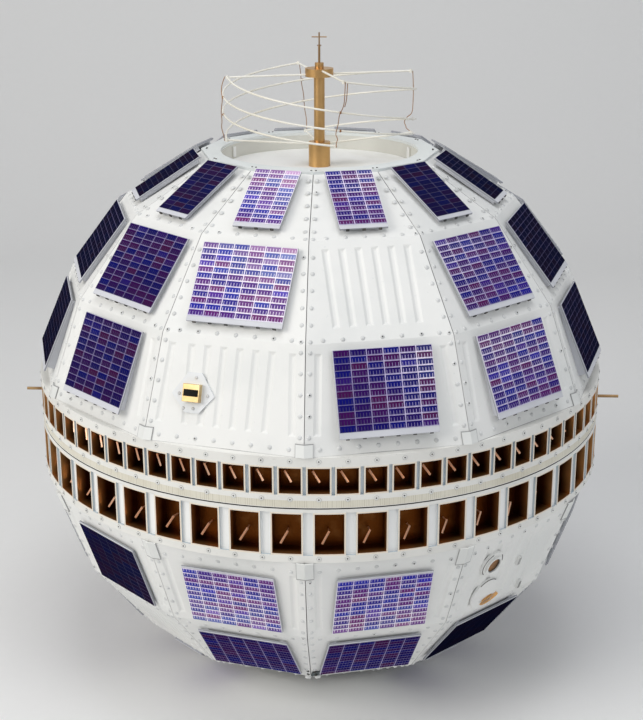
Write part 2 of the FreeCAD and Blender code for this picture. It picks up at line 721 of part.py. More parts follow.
def build():
    sheet = plain_gore()
    for number in range(GORES):
        azimuth = gore_azimuth(number)
        upper = gore(number, UPPER_BLANK, sheet)
        lower = gore(number, LOWER_BLANK, sheet)
        keep(f"gore_upper_{number + 1:02d}", turned(upper, azimuth))
        keep(f"gore_lower_{number + 1:02d}", below(turned(lower, azimuth)))

    for row in ROWS:
        upper_panels = panel_row(row, UPPER_BLANK, UPPER_PANELS)
        lower_panels = [below(p) for p in panel_row(row, LOWER_BLANK, LOWER_PANELS)]
        keep(f"cell_panels_upper_{row.lower()}", Part.makeCompound(upper_panels))
        keep(f"cell_panels_lower_{row.lower()}", Part.makeCompound(lower_panels))

    step = 360.0 / GORES
    upper_cover, lower_cover = seam_cover(COVER_UPPER_H), below(seam_cover(COVER_LOWER_H))
    covers = [turned(upper_cover, i * step) for i in range(GORES)]
    covers += [turned(lower_cover, i * step) for i in range(GORES)]
    keep("seam_covers", Part.makeCompound(covers))

    keep("receive_antenna_ring", receive_ring())
    keep("transmit_antenna_ring", transmit_ring())
    rx_probes = probes(RX_COUNT, RX_PHASE, RX_PROBE_ACROSS, RX_PROBE_DROP,
                       (RX_PROBE_SIDE, RX_PROBE_IN, RX_PROBE_Z))
    tx_probes = probes(TX_COUNT, TX_PHASE, TX_PROBE_ACROSS, TX_PROBE_DROP,
                       (TX_PROBE_SIDE, TX_PROBE_IN, TX_PROBE_Z))
    keep("receive_probes", Part.makeCompound(rx_probes))
    keep("transmit_probes", Part.makeCompound(tx_probes))
    keep("equator_band", ring(BAND_LOW_Z, BAND_HIGH_Z, BELT_R - BAND_T, BELT_R))

    plate = polygon_plate(CAP_CORNER_R, CAP_Z - CAP_T, CAP_Z)
    keep("top_plate", plate.cut(disc(WELL_R, CAP_Z - CAP_T - PAST, CAP_Z + PAST)))
    keep("top_well", well_pan())
    keep("mast_sleeve", mast_sleeve())
    keep("mast_tube", mast_tube())
    keep("antenna_hub", hub())
    keep("tip_rod", tip_rod())
    keep("helix_wires", Part.makeCompound([helix_coil(i) for i in range(ARMS)]))
    keep("helix_top_arms", Part.makeCompound([helix_arm(*top_arm_line(i)) for i in range(ARMS)]))
    keep("helix_low_arms", Part.makeCompound([helix_arm(*low_arm_line(i)) for i in range(ARMS)]))
    keep("helix_ties", Part.makeCompound([tie(i) for i in range(ARMS)]))

    facet = FACETS["A"]
    sensor_sides = [gore_azimuth(GORE_L1), gore_azimuth(GORE_L1) + 180]
    keep("sun_sensor_bases", Part.makeCompound([turned(facet.put(sensor_base()), a) for a in sensor_sides]))
    keep("sun_sensors", Part.makeCompound([turned(facet.put(sun_sensor()), a) for a in sensor_sides]))
    ports = [port_ring(), window_cover()] + [plug(u, v) for u, v in PLUGS]
    azimuth = gore_azimuth(GORE_R2)
    keep("service_ports", Part.makeCompound([below(turned(facet.put(p), azimuth)) for p in ports]))
    keep("side_pins", Part.makeCompound([turned(side_pin(), a) for a in (-90, 90)]))

    base_top = 2 * BELT_MID_Z - CAP_Z + CAP_T
    base_low = base_top - CAP_T
    holes = bolt_holes(ATTACH_HOLE_R, ATTACH_BOLTS, ATTACH_PCD / 2, FLOOR_Z - PAST, base_top + PAST)
    keep("base_plate", polygon_plate(CAP_CORNER_R, base_low, base_top).cut(holes))
    keep("attach_ring", ring(FLOOR_Z, base_low, ATTACH_IN_R, ATTACH_OUT_R).cut(holes))

    half = CANISTER_H / 2
    keep("electronics_canister", disc(CANISTER_R, BELT_MID_Z - half, BELT_MID_Z + half))
    strut = box_about_x(CANISTER_R + SEAT, RING_IN_R - SEAT, STRUT_W,
                        JOINT_GAP + SEAT, JOINT_GAP + SEAT + STRUT_T)
    keep("canister_struts", Part.makeCompound([turned(strut, i * 360.0 / STRUTS) for i in range(STRUTS)]))


build()
os.makedirs("parts", exist_ok=True)
for name, shape in PIECES.items():
    shape.exportStep(f"parts/{name}.step")
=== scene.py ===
import math
import random

import bmesh
import bpy
from mathutils import Matrix, Vector


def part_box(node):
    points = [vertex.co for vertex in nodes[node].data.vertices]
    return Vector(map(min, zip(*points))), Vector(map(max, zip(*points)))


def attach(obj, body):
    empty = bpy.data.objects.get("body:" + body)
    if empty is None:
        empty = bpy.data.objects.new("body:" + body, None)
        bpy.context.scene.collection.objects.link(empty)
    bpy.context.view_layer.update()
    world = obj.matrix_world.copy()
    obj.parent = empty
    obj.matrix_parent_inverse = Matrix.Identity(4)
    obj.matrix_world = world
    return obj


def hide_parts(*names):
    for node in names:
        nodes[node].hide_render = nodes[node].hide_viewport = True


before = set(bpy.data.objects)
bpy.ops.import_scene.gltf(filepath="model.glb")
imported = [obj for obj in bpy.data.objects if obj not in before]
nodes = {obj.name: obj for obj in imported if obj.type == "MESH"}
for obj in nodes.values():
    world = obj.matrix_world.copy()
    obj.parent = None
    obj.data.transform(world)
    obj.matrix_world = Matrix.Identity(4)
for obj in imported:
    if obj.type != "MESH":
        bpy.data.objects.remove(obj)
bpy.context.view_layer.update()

scene = bpy.context.scene
seeded = random.Random(11)

# Camera
# The camera stands where the photograph was taken from, found by fitting the corners of the body and the
# seams between its gores. Heights are counted from the equator joint, where the belt's two rings meet.
PHOTO_W = 643
RING_JOINT_Z = 0.0018
EQUATOR_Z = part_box("receive_antenna_ring")[0].z - RING_JOINT_Z
CAMERA_TURN = math.radians(2.7)
CAMERA_TILT = math.radians(18.52)
CAMERA_ROLL = math.radians(-0.13)
CAMERA_DISTANCE = 2.2594
CAMERA_AIM = Vector((0.00236, 0, 0.061))
FOCAL_PX = 1438.0

camera_data = bpy.data.cameras.new("photo_camera")
camera = bpy.data.objects.new("photo_camera", camera_data)
scene.collection.objects.link(camera)
scene.camera = camera
camera_data.sensor_fit = "HORIZONTAL"
camera_data.sensor_width = 36.0
camera_data.lens = camera_data.sensor_width * FOCAL_PX / PHOTO_W
camera_data.clip_start, camera_data.clip_end = 0.05, 60.0
turn = Matrix.Rotation(CAMERA_TURN, 4, "Z")
back = Vector((0, -math.cos(CAMERA_TILT), math.sin(CAMERA_TILT)))
spot = turn @ (CAMERA_AIM + CAMERA_DISTANCE * back) + Vector((0, 0, EQUATOR_Z))
facing = (turn @ -back).to_track_quat("-Z", "Y").to_matrix().to_4x4()
camera.matrix_world = Matrix.Translation(spot) @ facing @ Matrix.Rotation(CAMERA_ROLL, 4, "Z")


# Floor, backdrop and lamps
# A pale paper floor sweeps up into a pale backdrop behind the part, and isn't seen from its back. Large
# soft lamps stand to the left, to the right and above, and the left one is the strongest, as in the photo.
PAPER = (0.85, 0.85, 0.84)
PAPER_FLECK = (0.867, 0.867, 0.8568)
FLOOR_Z = -0.0004
FLOOR_DEPTH = 2.4
FLOOR_HALF = 7.0
SWEEP_R = 1.2
WALL_H = 5.0
SKY = (0.93, 0.95, 1.0)
SKY_STRENGTH = 0.36
LAMPS = {
    "key_lamp": ((-3.0, -2.3, 2.5), 2.4, 87, (1.0, 0.97, 0.92)),
    "fill_lamp": ((3.0, -2.6, 2.5), 2.0, 25, (0.94, 0.97, 1.0)),
    "top_lamp": ((0.2, -0.8, 3.5), 1.8, 34, (0.97, 0.98, 1.0)),
}


def wire(tree, kind, inputs=(), **settings):
    """Add a node, set its options, and set or link its inputs."""
    node = tree.nodes.new(kind)
    for key, value in settings.items():
        setattr(node, key, value)
    for key, value in dict(inputs).items():
        if isinstance(value, bpy.types.NodeSocket):
            tree.links.new(value, node.inputs[key])
        else:
            node.inputs[key].default_value = value
    return node


def new_material(name, **values):
    """Material with its Principled shader's own sockets set."""
    material = bpy.data.materials.new(name)
    material.use_nodes = True
    shader = material.node_tree.nodes["Principled BSDF"]
    for key, value in values.items():
        shader.inputs[key.replace("_", " ")].default_value = value
    return material, material.node_tree, shader


def new_piece(name, bm, materials, smooth=False):
    """Finish a bmesh as an object of the scene."""
    mesh = bpy.data.meshes.new(name)
    bm.to_mesh(mesh)
    bm.free()
    for polygon in mesh.polygons:
        polygon.use_smooth = smooth
    piece = bpy.data.objects.new(name, mesh)
    scene.collection.objects.link(piece)
    for material in materials:
        mesh.materials.append(material)
    return piece


def tint(tree, factor, first, second):
    """Mix of two colours."""
    first, second = [c if isinstance(c, bpy.types.NodeSocket) else (*c, 1) for c in (first, second)]
    return wire(tree, "ShaderNodeMix", {0: factor, 6: first, 7: second}, data_type="RGBA").outputs[2]


def object_place(tree):
    """Object coordinates and their three parts."""
    place = wire(tree, "ShaderNodeTexCoord").outputs["Object"]
    return place, wire(tree, "ShaderNodeSeparateXYZ", {0: place}).outputs


def noise(tree, place, scale, detail):
    """Soft noise at a place."""
    look = {"Vector": place, "Scale": scale, "Detail": detail}
    return wire(tree, "ShaderNodeTexNoise", look).outputs["Fac"]


def of_kind(items, kind):
    """Vertices or edges among the things a bmesh operator gives back."""
    return [item for item in items if isinstance(item, kind)]


paper, tree, shader = new_material("studio_paper", Roughness=0.9, Specular_IOR_Level=0.1)
grain = noise(tree, object_place(tree)[0], 60.0, 3.0)
tree.links.new(tint(tree, grain, PAPER, PAPER_FLECK), shader.inputs["Base Color"])
behind = wire(tree, "ShaderNodeNewGeometry").outputs["Backfacing"]
clear = wire(tree, "ShaderNodeBsdfTransparent").outputs[0]
seen = wire(tree, "ShaderNodeMixShader", {0: behind, 1: shader.outputs[0], 2: clear})
tree.links.new(seen.outputs[0], tree.nodes["Material Output"].inputs["Surface"])

bm = bmesh.new()
start = [bm.verts.new((x, -FLOOR_HALF, FLOOR_Z)) for x in (-FLOOR_HALF, FLOOR_HALF)]
ground = bmesh.ops.extrude_edge_only(bm, edges=[bm.edges.new(start)])["geom"]
bmesh.ops.translate(bm, verts=of_kind(ground, bmesh.types.BMVert), vec=(0, FLOOR_HALF + FLOOR_DEPTH, 0))
sweep = bmesh.ops.spin(bm, geom=of_kind(ground, bmesh.types.BMEdge), axis=(1, 0, 0), angle=math.pi / 2,
                       cent=(0, FLOOR_DEPTH, FLOOR_Z + SWEEP_R), steps=16, use_merge=False)["geom_last"]
wall = bmesh.ops.extrude_edge_only(bm, edges=of_kind(sweep, bmesh.types.BMEdge))["geom"]
bmesh.ops.translate(bm, verts=of_kind(wall, bmesh.types.BMVert), vec=(0, 0, WALL_H))
bmesh.ops.recalc_face_normals(bm, faces=bm.faces)
if min(bm.faces, key=lambda face: face.calc_center_median().z).normal.z < 0:
    bmesh.ops.reverse_faces(bm, faces=bm.faces)
new_piece("studio_floor", bm, [paper], smooth=True)

scene.world = bpy.data.worlds.new("studio_world")
scene.world.use_nodes = True
sky = scene.world.node_tree.nodes["Background"]
sky.inputs["Color"].default_value = (*SKY, 1)
sky.inputs["Strength"].default_value = SKY_STRENGTH
for name, (place, width, power, colour) in LAMPS.items():
    lamp = bpy.data.lights.new(name, "AREA")
    lamp.shape, lamp.size, lamp.energy, lamp.color = "SQUARE", width, power, colour
    holder = bpy.data.objects.new(name, lamp)
    scene.collection.objects.link(holder)
    aim = Vector((0, 0, EQUATOR_Z)) - Vector(place)
    holder.matrix_world = Matrix.Translation(place) @ aim.to_track_quat("-Z", "Y").to_matrix().to_4x4()
scene.view_settings.view_transform = "Standard"


# Base plate, attach ring, canister and struts
# Unpainted machined and rolled aluminium. The ring is bolted under the base plate, and the canister with
# the electronics hangs inside the body on channel struts. Brushing marks run round the parts.
BARE = (0.62, 0.63, 0.65)
BARE_DULL = (0.46, 0.47, 0.49)


def new_group(name, inputs, outputs):
    """Empty shader group with named sockets."""
    tree = bpy.data.node_groups.new(name, "ShaderNodeTree")
    for sockets, way in ((inputs, "INPUT"), (outputs, "OUTPUT")):
        for label, kind in sockets.items():
            tree.interface.new_socket(label, in_out=way, socket_type="NodeSocket" + kind)
    return tree, tree.nodes.new("NodeGroupInput").outputs, tree.nodes.new("NodeGroupOutput").inputs


def calc(tree, operation, *values):
    """Result of a Math node."""
    return wire(tree, "ShaderNodeMath", dict(enumerate(values)), operation=operation).outputs[0]


def step_between(tree, value, low, high, to_low=0.0, to_high=1.0):
    """Smooth step of a value."""
    return wire(tree, "ShaderNodeMapRange", {0: value, 1: low, 2: high, 3: to_low, 4: to_high},
                interpolation_type="SMOOTHSTEP").outputs[0]


def close_look(tree, given, made, worn, fine, spread, relief):
    """Wear between the two colours, and fine marks in the roughness and the relief."""
    tree.links.new(tint(tree, worn, given["Colour"], given["Second Colour"]), made["Colour"])
    uneven = step_between(tree, fine, 0.3, 0.7, *spread)
    tree.links.new(calc(tree, "ADD", given["Roughness"], uneven), made["Roughness"])
    bump = wire(tree, "ShaderNodeBump", {"Height": fine, "Strength": given["Grain"], "Distance": relief})
    tree.links.new(bump.outputs[0], made["Normal"])


LOOK_IN = {"Colour": "Color", "Second Colour": "Color", "Roughness": "Float", "Grain": "Float"}
LOOK_OUT = {"Colour": "Color", "Roughness": "Float", "Normal": "Vector"}

# Metal: fine marks stretched round the axis, with patches of duller metal.
brushed, given, made = new_group("brushed_metal", LOOK_IN, LOOK_OUT)
place, _ = object_place(brushed)
worn = step_between(brushed, noise(brushed, place, 24.0, 5.0), 0.4, 0.62)
squeezed = wire(brushed, "ShaderNodeMapping", {"Vector": place, "Scale": (60.0, 60.0, 2600.0)}).outputs[0]
close_look(brushed, given, made, worn, noise(brushed, squeezed, 1.0, 4.0), (-0.03, 0.04), 0.0001)

# Paint: sprayed coat with a faint orange peel, wide soft stains and small specks.
sprayed, given, made = new_group("sprayed_paint", LOOK_IN, LOOK_OUT)
place, _ = object_place(sprayed)
stain = calc(sprayed, "MULTIPLY", step_between(sprayed, noise(sprayed, place, 11.0, 6.0), 0.42, 0.7), 0.8)
speck = step_between(sprayed, noise(sprayed, place, 170.0, 2.0), 0.71, 0.75)
marked = calc(sprayed, "MAXIMUM", stain, speck)
close_look(sprayed, given, made, marked, noise(sprayed, place, 520.0, 3.0), (-0.05, 0.06), 0.0003)


def finished(name, group, colour, second, roughness, grain, **values):
    """Material whose colour, roughness and grain come from one of the groups."""
    material, tree, shader = new_material(name, **values)
    chosen = dict(zip(LOOK_IN, ((*colour, 1), (*second, 1), roughness, grain)))
    look = wire(tree, "ShaderNodeGroup", chosen, node_tree=group).outputs
    for label, socket in zip(LOOK_OUT, ("Base Color", "Roughness", "Normal")):
        tree.links.new(look[label], shader.inputs[socket])
    return material


def dress(material, *names):
    """Put a material on CAD nodes."""
    for name in names:
        mesh = nodes[name].data
        mesh.materials.clear()
        mesh.materials.append(material)


bare_aluminium = finished("bare_aluminium", brushed, BARE, BARE_DULL, 0.34, 0.3, Metallic=1.0)
dress(bare_aluminium, "attach_ring", "electronics_canister", "canister_struts")


# Gore sheets
# Twelve gores a side, folded from thin aluminium sheet with pressed stiffening beads, and sprayed with a
# satin white coat that keeps the body cool. Painted shade darkens the seams and the foot of each gore, in
# patches, and it fades to the left, where the strongest lamp stands.
WHITE = (0.84, 0.84, 0.815)
WHITE_STAIN = (0.77, 0.78, 0.76)
SEAM_STEP = math.pi / 6
SEAM_SHADE = (0.24, 0.24, 0.24)
SEAM_SHADE_W = 0.0006
FOOT_Z = (0.073, -0.077)
FOOT_SHADE_W = 0.0009
LAMP_SIDE_X = (-0.22, -0.08)


def round_axis(tree):
    """Azimuth of a place from the front, its distance from the axis, and its height over the joint."""
    _, parts = object_place(tree)
    azimuth = calc(tree, "ARCTAN2", parts[0], calc(tree, "MULTIPLY", parts[1], -1.0))
    level = wire(tree, "ShaderNodeCombineXYZ", {0: parts[0], 1: parts[1]}).outputs[0]
    out_r = wire(tree, "ShaderNodeVectorMath", {0: level}, operation="LENGTH").outputs["Value"]
    return azimuth, out_r, calc(tree, "SUBTRACT", parts[2], EQUATOR_Z)


def off_whole(tree, value):
    """Distance of a value from the nearest whole number."""
    return calc(tree, "ABSOLUTE", calc(tree, "SUBTRACT", value, calc(tree, "ROUND", value)))


def coloured_over(material, mask, colour):
    """Lay a colour over a finished material where a mask is strong."""
    tree = material.node_tree
    base = tree.nodes["Principled BSDF"].inputs["Base Color"]
    tree.links.new(tint(tree, mask, base.links[0].from_socket, colour), base)


# Place on the body: the distance from the nearest seam and the height over the equator joint.
seam_place, given, made = new_group("seam_place", {}, {"From Seam": "Float", "Height": "Float"})
azimuth, out_r, height = round_axis(seam_place)
turned = off_whole(seam_place, calc(seam_place, "DIVIDE", azimuth, SEAM_STEP))
off_seam = calc(seam_place, "MULTIPLY", calc(seam_place, "MULTIPLY", turned, SEAM_STEP), out_r)
seam_place.links.new(off_seam, made["From Seam"])
seam_place.links.new(height, made["Height"])

white_coat = finished("white_coat", sprayed, WHITE, WHITE_STAIN, 0.42, 0.12)
tree = white_coat.node_tree
here = wire(tree, "ShaderNodeGroup", node_tree=seam_place).outputs
# Painted shade: a dark line along every seam and along the foot of each gore.
painted_shade = step_between(tree, here["From Seam"], SEAM_SHADE_W * 0.6, SEAM_SHADE_W * 1.3, 0.8, 0.0)
for foot_z in FOOT_Z:
    off_foot = calc(tree, "ABSOLUTE", calc(tree, "SUBTRACT", here["Height"], foot_z))
    at_foot = step_between(tree, off_foot, FOOT_SHADE_W * 0.5, FOOT_SHADE_W, 0.9, 0.0)
    painted_shade = calc(tree, "MAXIMUM", painted_shade, at_foot)
place, parts = object_place(tree)
# The painted shade comes in patches and fades out to the left, towards the strongest lamp.
painted_shade = calc(tree, "MULTIPLY", painted_shade, step_between(tree, noise(tree, place, 9.0, 2.0), 0.38, 0.55, 0.35, 1.0))
painted_shade = calc(tree, "MULTIPLY", painted_shade, step_between(tree, parts[0], *LAMP_SIDE_X, 0.5, 1.0))
coloured_over(white_coat, painted_shade, SEAM_SHADE)
dress(white_coat, *[name for name in nodes if name.startswith("gore_")])
plain_white = finished("plain_white", sprayed, WHITE, WHITE_STAIN, 0.42, 0.12)
dress(plain_white, "base_plate")


# Seam covers
# A small folded cover hides the foot of every seam. A dark line of painted shade runs round it.
COVER_SIDE = 0.0114
COVER_TOP_Z, COVER_LOW_Z = 0.0892, -0.1044
LINE_W = 0.0003

cover_white = finished("cover_white", sprayed, (0.79, 0.80, 0.775), (0.72, 0.73, 0.71), 0.38, 0.12)
tree = cover_white.node_tree
here = wire(tree, "ShaderNodeGroup", node_tree=seam_place).outputs
at_side = step_between(tree, here["From Seam"], COVER_SIDE - LINE_W, COVER_SIDE + LINE_W)
at_top = step_between(tree, here["Height"], COVER_TOP_Z - LINE_W, COVER_TOP_Z + LINE_W)
at_low = step_between(tree, here["Height"], COVER_LOW_Z - LINE_W, COVER_LOW_Z + LINE_W, 1.0, 0.0)
# Painted shade along the cover's sides, top and lower edge.
edged = calc(tree, "MAXIMUM", at_side, calc(tree, "MAXIMUM", at_top, at_low))
coloured_over(cover_white, calc(tree, "MULTIPLY", edged, 0.8), SEAM_SHADE)
dress(cover_white, "seam_covers")


# Screws of the gore sheets
# Round-headed painted screws stand in two lines along every seam and in one line along the belt side edge
# of every facet. Some have lost the paint in their slots and look dark in the middle.
CORNER_SPHERE_R = 0.43815
HALF_GORE = math.pi / 12
FLAT = math.cos(HALF_GORE)
BELT_MID_Z = -0.002
FOOT = (0.4345, 0.073)
MID_CORNER, HIGH_CORNER = [(CORNER_SPHERE_R * math.cos(latitude), CORNER_SPHERE_R * math.sin(latitude))
                           for latitude in (math.radians(28.6), math.radians(47.75))]
CAP_CORNER = (0.178, 0.3944)
ROWS = {"A": (FOOT, MID_CORNER), "B": (MID_CORNER, HIGH_CORNER), "C": (HIGH_CORNER, CAP_CORNER)}
GORE_AZIMUTHS = [15.0 + 30.0 * i for i in range(12)]
SEAM_SCREW_IN = 0.0061
SEAM_SCREW_LOWEST = 0.0035
# Heights on the facet of the screws along a seam, and the height and the places across of those on the edge.
SEAM_SCREWS = {"A": (0.0258, 0.0531, 0.0804, 0.1077, 0.1345),
               "B": (0.003, 0.0265, 0.050, 0.074, 0.0975, 0.1205),
               "C": (0.0, 0.0170, 0.0416, 0.0662, 0.0908, 0.1154)}
LOWER_SEAM_SCREWS_A = (0.036, 0.0589, 0.0865, 0.1125, 0.1365)
EDGE_SCREWS = {"A": (0.0093, (-0.091, -0.065, -0.039, -0.013, 0.013, 0.039, 0.065, 0.091)),
               "B": (0.0044, (-0.076, -0.0497, -0.0234, 0.0029, 0.0292, 0.0555, 0.080)),
               "C": (0.0040, (-0.052, -0.026, 0.0, 0.026, 0.052))}
LOWER_EDGE_V = {"A": 0.0185, "B": 0.012, "C": 0.0040}
# Small round parts: name, sides, radius at the foot and at the head, rise, and the steps of the top.
SHEET_SCREW = ("sheet_screw_one", 8, 0.0034, 0.0027, 0.0007, ((0.0006, 0.0006), (0.0009, 0.0004)))
SLOT_DOT = ("screw_slot_one", 6, 0.0012, 0.00096, 0.0003, ((0.0003, 0.0),))
SCREW_TOP = 0.0017
SEATED = 0.0001
DARK_SCREWS = 0.12


def about_axis(degrees):
    """Turn round the upright axis."""
    return Matrix.Rotation(math.radians(degrees), 4, "Z")


def facet_frame(row, azimuth, lower):
    """Frame of a facet: across it, up from its belt side edge, and out of it."""
    (foot_r, foot_z), (head_r, head_z) = ROWS[row]
    foot = Vector((0, -foot_r * FLAT, foot_z))
    up = (Vector((0, -head_r * FLAT, head_z)) - foot).normalized()
    along = Vector((1, 0, 0))
    if lower:
        foot.z, up.z, along.x = 2 * BELT_MID_Z - foot.z, -up.z, -1
    foot.z += EQUATOR_Z
    axes = Matrix((along, up, along.cross(up))).transposed().to_4x4()
    return about_axis(azimuth) @ Matrix.Translation(foot) @ axes


def facet_length(row):
    """Length of a row's facets from the belt side edge to the other."""
    (foot_r, foot_z), (head_r, head_z) = ROWS[row]
    return math.hypot((foot_r - head_r) * FLAT, head_z - foot_z)


def half_width(row, v):
    """Half the width of a row's facets at a height on the facet."""
    (foot_r, _), (head_r, _) = ROWS[row]
    return (foot_r + (head_r - foot_r) * v / facet_length(row)) * math.sin(HALF_GORE)


def step_top(bm, steps):
    """Inset and lift the top face step by step."""
    top = max(bm.faces, key=lambda face: face.calc_center_median().z)
    for inward, lift in steps:
        bmesh.ops.inset_individual(bm, faces=[top], thickness=inward, depth=lift, use_even_offset=True)


def turned_knob(name, segments, foot_r, head_r, rise, steps):
    """Template of a small round part: a low cone with a stepped top."""
    bm = bmesh.new()
    bmesh.ops.create_cone(bm, cap_ends=True, segments=segments, radius1=foot_r, radius2=head_r, depth=rise)
    bmesh.ops.translate(bm, verts=bm.verts, vec=(0, 0, rise / 2))
    step_top(bm, steps)
    mesh = bpy.data.meshes.new(name)
    bm.to_mesh(mesh)
    bm.free()
    return mesh


def scattered(name, template, places, materials):
    """One mesh of a small part repeated at many places."""
    bm = bmesh.new()
    for place in places:
        copy = template.copy()
        copy.transform(place)
        bm.from_mesh(copy)
        bpy.data.meshes.remove(copy)
    return new_piece(name, bm, materials)


def carried(piece, slot, *replaced):
    """Join a new piece to the part."""
    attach(piece, "root")
    if replaced:
        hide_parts(*replaced)
    return piece


screw_spots = []
for lower in (False, True):
    for azimuth in GORE_AZIMUTHS:
        for row in ROWS:
            frame_here = facet_frame(row, azimuth, lower)
            edge_v, edge_us = EDGE_SCREWS[row]
            if lower:
                edge_v = LOWER_EDGE_V[row]
            spots = [(u, edge_v) for u in edge_us if abs(u) < half_width(row, edge_v) - 2 * SEAM_SCREW_IN]
            for v in LOWER_SEAM_SCREWS_A if lower and row == "A" else SEAM_SCREWS[row]:
                u = half_width(row, v) - SEAM_SCREW_IN
                spots += [(side * u, max(v, SEAM_SCREW_LOWEST)) for side in (-1, 1)]
            screw_spots += [frame_here @ Matrix.Translation((u, v, -SEATED)) for u, v in spots]
screw_paint = finished("screw_paint", sprayed, (0.71, 0.72, 0.71), (0.54, 0.55, 0.54), 0.34, 0.1)
carried(scattered("sheet_screws", turned_knob(*SHEET_SCREW), screw_spots, [screw_paint]), "white_coat")
# Dark steel for screws, slots and clips, also used for the painted shadow lines round the service port.
dark_steel_and_shade = finished("dark_steel_and_shade", brushed, (0.10, 0.09, 0.08), (0.05, 0.05, 0.05), 0.45, 0.2, Metallic=0.8)
dot_lift = Matrix.Translation((0, 0, SCREW_TOP))
dot_spots = [spot @ dot_lift for spot in screw_spots if seeded.random() < DARK_SCREWS]
carried(scattered("screw_slots", turned_knob(*SLOT_DOT), dot_spots, [dark_steel_and_shade]), "bare_aluminium")


# Top plate and well
# A flat twelve-sided plate with a round well let into it, both painted a colder white than the gores. The
# plate is held at its corners by pairs of small dark screws, and angles stand on the well's wall.
PLATE_SCREW = ("plate_screw_one", 10, 0.0015, 0.00135, 0.0008, ((0.0005, 0.0002), (0.0003, -0.0004)))
PLATE_SCREW_OUT = 0.1695
PLATE_SCREW_TURN = 1.1
WELL_WALL_R = 0.146
WELL_WALL_FADE = (0.0030, 0.0005)
WELL_ANGLE = (0.008, 0.003, 0.016)
WELL_ANGLE_DOWN = 0.003
WELL_ANGLE_BEVEL = 0.0006
WELL_ANGLE_AZ = (-68, 68, 112, -112)
WELL_WALL_SHADE = (0.66, 0.655, 0.60)

plate_coat = finished("plate_coat", sprayed, (0.77, 0.805, 0.795), (0.69, 0.725, 0.72), 0.38, 0.12)
dress(plate_coat, "top_plate")
well_coat = finished("well_coat", sprayed, (0.87, 0.87, 0.85), (0.72, 0.71, 0.66), 0.42, 0.12)
# The well's wall is painted greyer than its floor as painted shade.
_, out_r, _ = round_axis(well_coat.node_tree)
wall_start, wall_full = [WELL_WALL_R - inward for inward in WELL_WALL_FADE]
coloured_over(well_coat, step_between(well_coat.node_tree, out_r, wall_start, wall_full), WELL_WALL_SHADE)
dress(well_coat, "top_well")
plate_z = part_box("top_plate")[1].z
corner_spot = Matrix.Translation((0, -PLATE_SCREW_OUT, plate_z - SEATED))
corner_spots = [about_axis(azimuth - GORE_AZIMUTHS[0] + side * PLATE_SCREW_TURN) @ corner_spot
                for azimuth in GORE_AZIMUTHS for side in (-1, 1)]
carried(scattered("plate_screws", turned_knob(*PLATE_SCREW), corner_spots, [dark_steel_and_shade]), "bare_aluminium")


def bevelled(bm, edges, offset, segments=1):
    """Cut or round off edges."""
    bmesh.ops.bevel(bm, geom=edges, offset=offset, affect="EDGES", segments=segments, profile=0.5,
                    material=-1)


well_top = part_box("top_well")[1].z
bm = bmesh.new()
for azimuth in WELL_ANGLE_AZ:
    box = bmesh.ops.create_cube(bm, size=1.0)["verts"]
    bmesh.ops.scale(bm, verts=box, vec=WELL_ANGLE)
    middle = (0, -(WELL_WALL_R - WELL_ANGLE[1] / 2), well_top - WELL_ANGLE[2] / 2 - WELL_ANGLE_DOWN)
    bmesh.ops.transform(bm, verts=box, matrix=about_axis(azimuth) @ Matrix.Translation(middle))
bevelled(bm, bm.edges[:], WELL_ANGLE_BEVEL, 2)
carried(new_piece("well_angles", bm, [well_coat]), "well_coat")


# Antenna belt
# Two rings of rectangular cavities, 72 small ones above and 48 larger ones below, milled and brazed from
# copper-lined aluminium. The faces are painted and the cavities are bare copper with a cream rim. Painted
# shade darkens the copper deeper in and greys the walls of the sunk lands between the boxes, the narrow
# upper lands are tinted blue-grey as painted shade, and the wide lower lands are a whiter painted light.
BELT_R = 0.431
RIM_W = 0.002
LAND_DEPTH = 0.0045
LAND_OVER = 0.0022
RECEIVE_BOXES = {"Count": 72, "Phase": 2.5, "Half Width": 0.01445, "Low": 0.0218, "High": 0.0574}
TRANSMIT_BOXES = {"Count": 48, "Phase": 4.35, "Half Width": 0.01945, "Low": -0.0644, "High": -0.0071}
BELT_WHITE = (0.82, 0.815, 0.775)
BELT_STAIN = (0.74, 0.73, 0.69)
RIM_CREAM = (0.84, 0.75, 0.62)
WALL_SHADE = (0.48, 0.54, 0.58)
LAND_SHADE_BLUE = (0.78, 0.84, 0.87)
LAND_LIT_WHITE = (0.95, 0.95, 0.93)
COPPER_NEAR = (0.78, 0.43, 0.16)
COPPER_SHADE = (0.11, 0.033, 0.006)
JOINT_DARK = (0.02, 0.017, 0.012)
CAVITY_DEPTH = 0.018
CAVITY_CLOUD = 0.25
JOINT_OVER = 0.0002
EDGE = 0.0005
BOX_MASKS = ("Inside", "Rim", "Land", "Wall Shade", "Joint", "Depth")

tree, given, made = new_group("belt_box_masks", dict.fromkeys(RECEIVE_BOXES, "Float"),
                              dict.fromkeys(BOX_MASKS, "Float"))
box_masks = tree
azimuth, out_r, height = round_axis(tree)
degrees = calc(tree, "SUBTRACT", calc(tree, "MULTIPLY", azimuth, 180 / math.pi), given["Phase"])
number = calc(tree, "DIVIDE", calc(tree, "MULTIPLY", degrees, given["Count"]), 360.0)
angle = calc(tree, "DIVIDE", calc(tree, "MULTIPLY", off_whole(tree, number), 2 * math.pi), given["Count"])
aside = calc(tree, "MULTIPLY", calc(tree, "SINE", angle), out_r)
sunk = calc(tree, "LESS_THAN", out_r, BELT_R - EDGE)
beside = calc(tree, "SUBTRACT", aside, given["Half Width"])
past = calc(tree, "MAXIMUM", calc(tree, "SUBTRACT", given["Low"], height),
            calc(tree, "SUBTRACT", height, given["High"]))
outside = calc(tree, "MAXIMUM", past, beside)
inside = calc(tree, "MULTIPLY", calc(tree, "LESS_THAN", outside, EDGE), sunk)
rim = calc(tree, "SUBTRACT", calc(tree, "LESS_THAN", outside, RIM_W), inside)
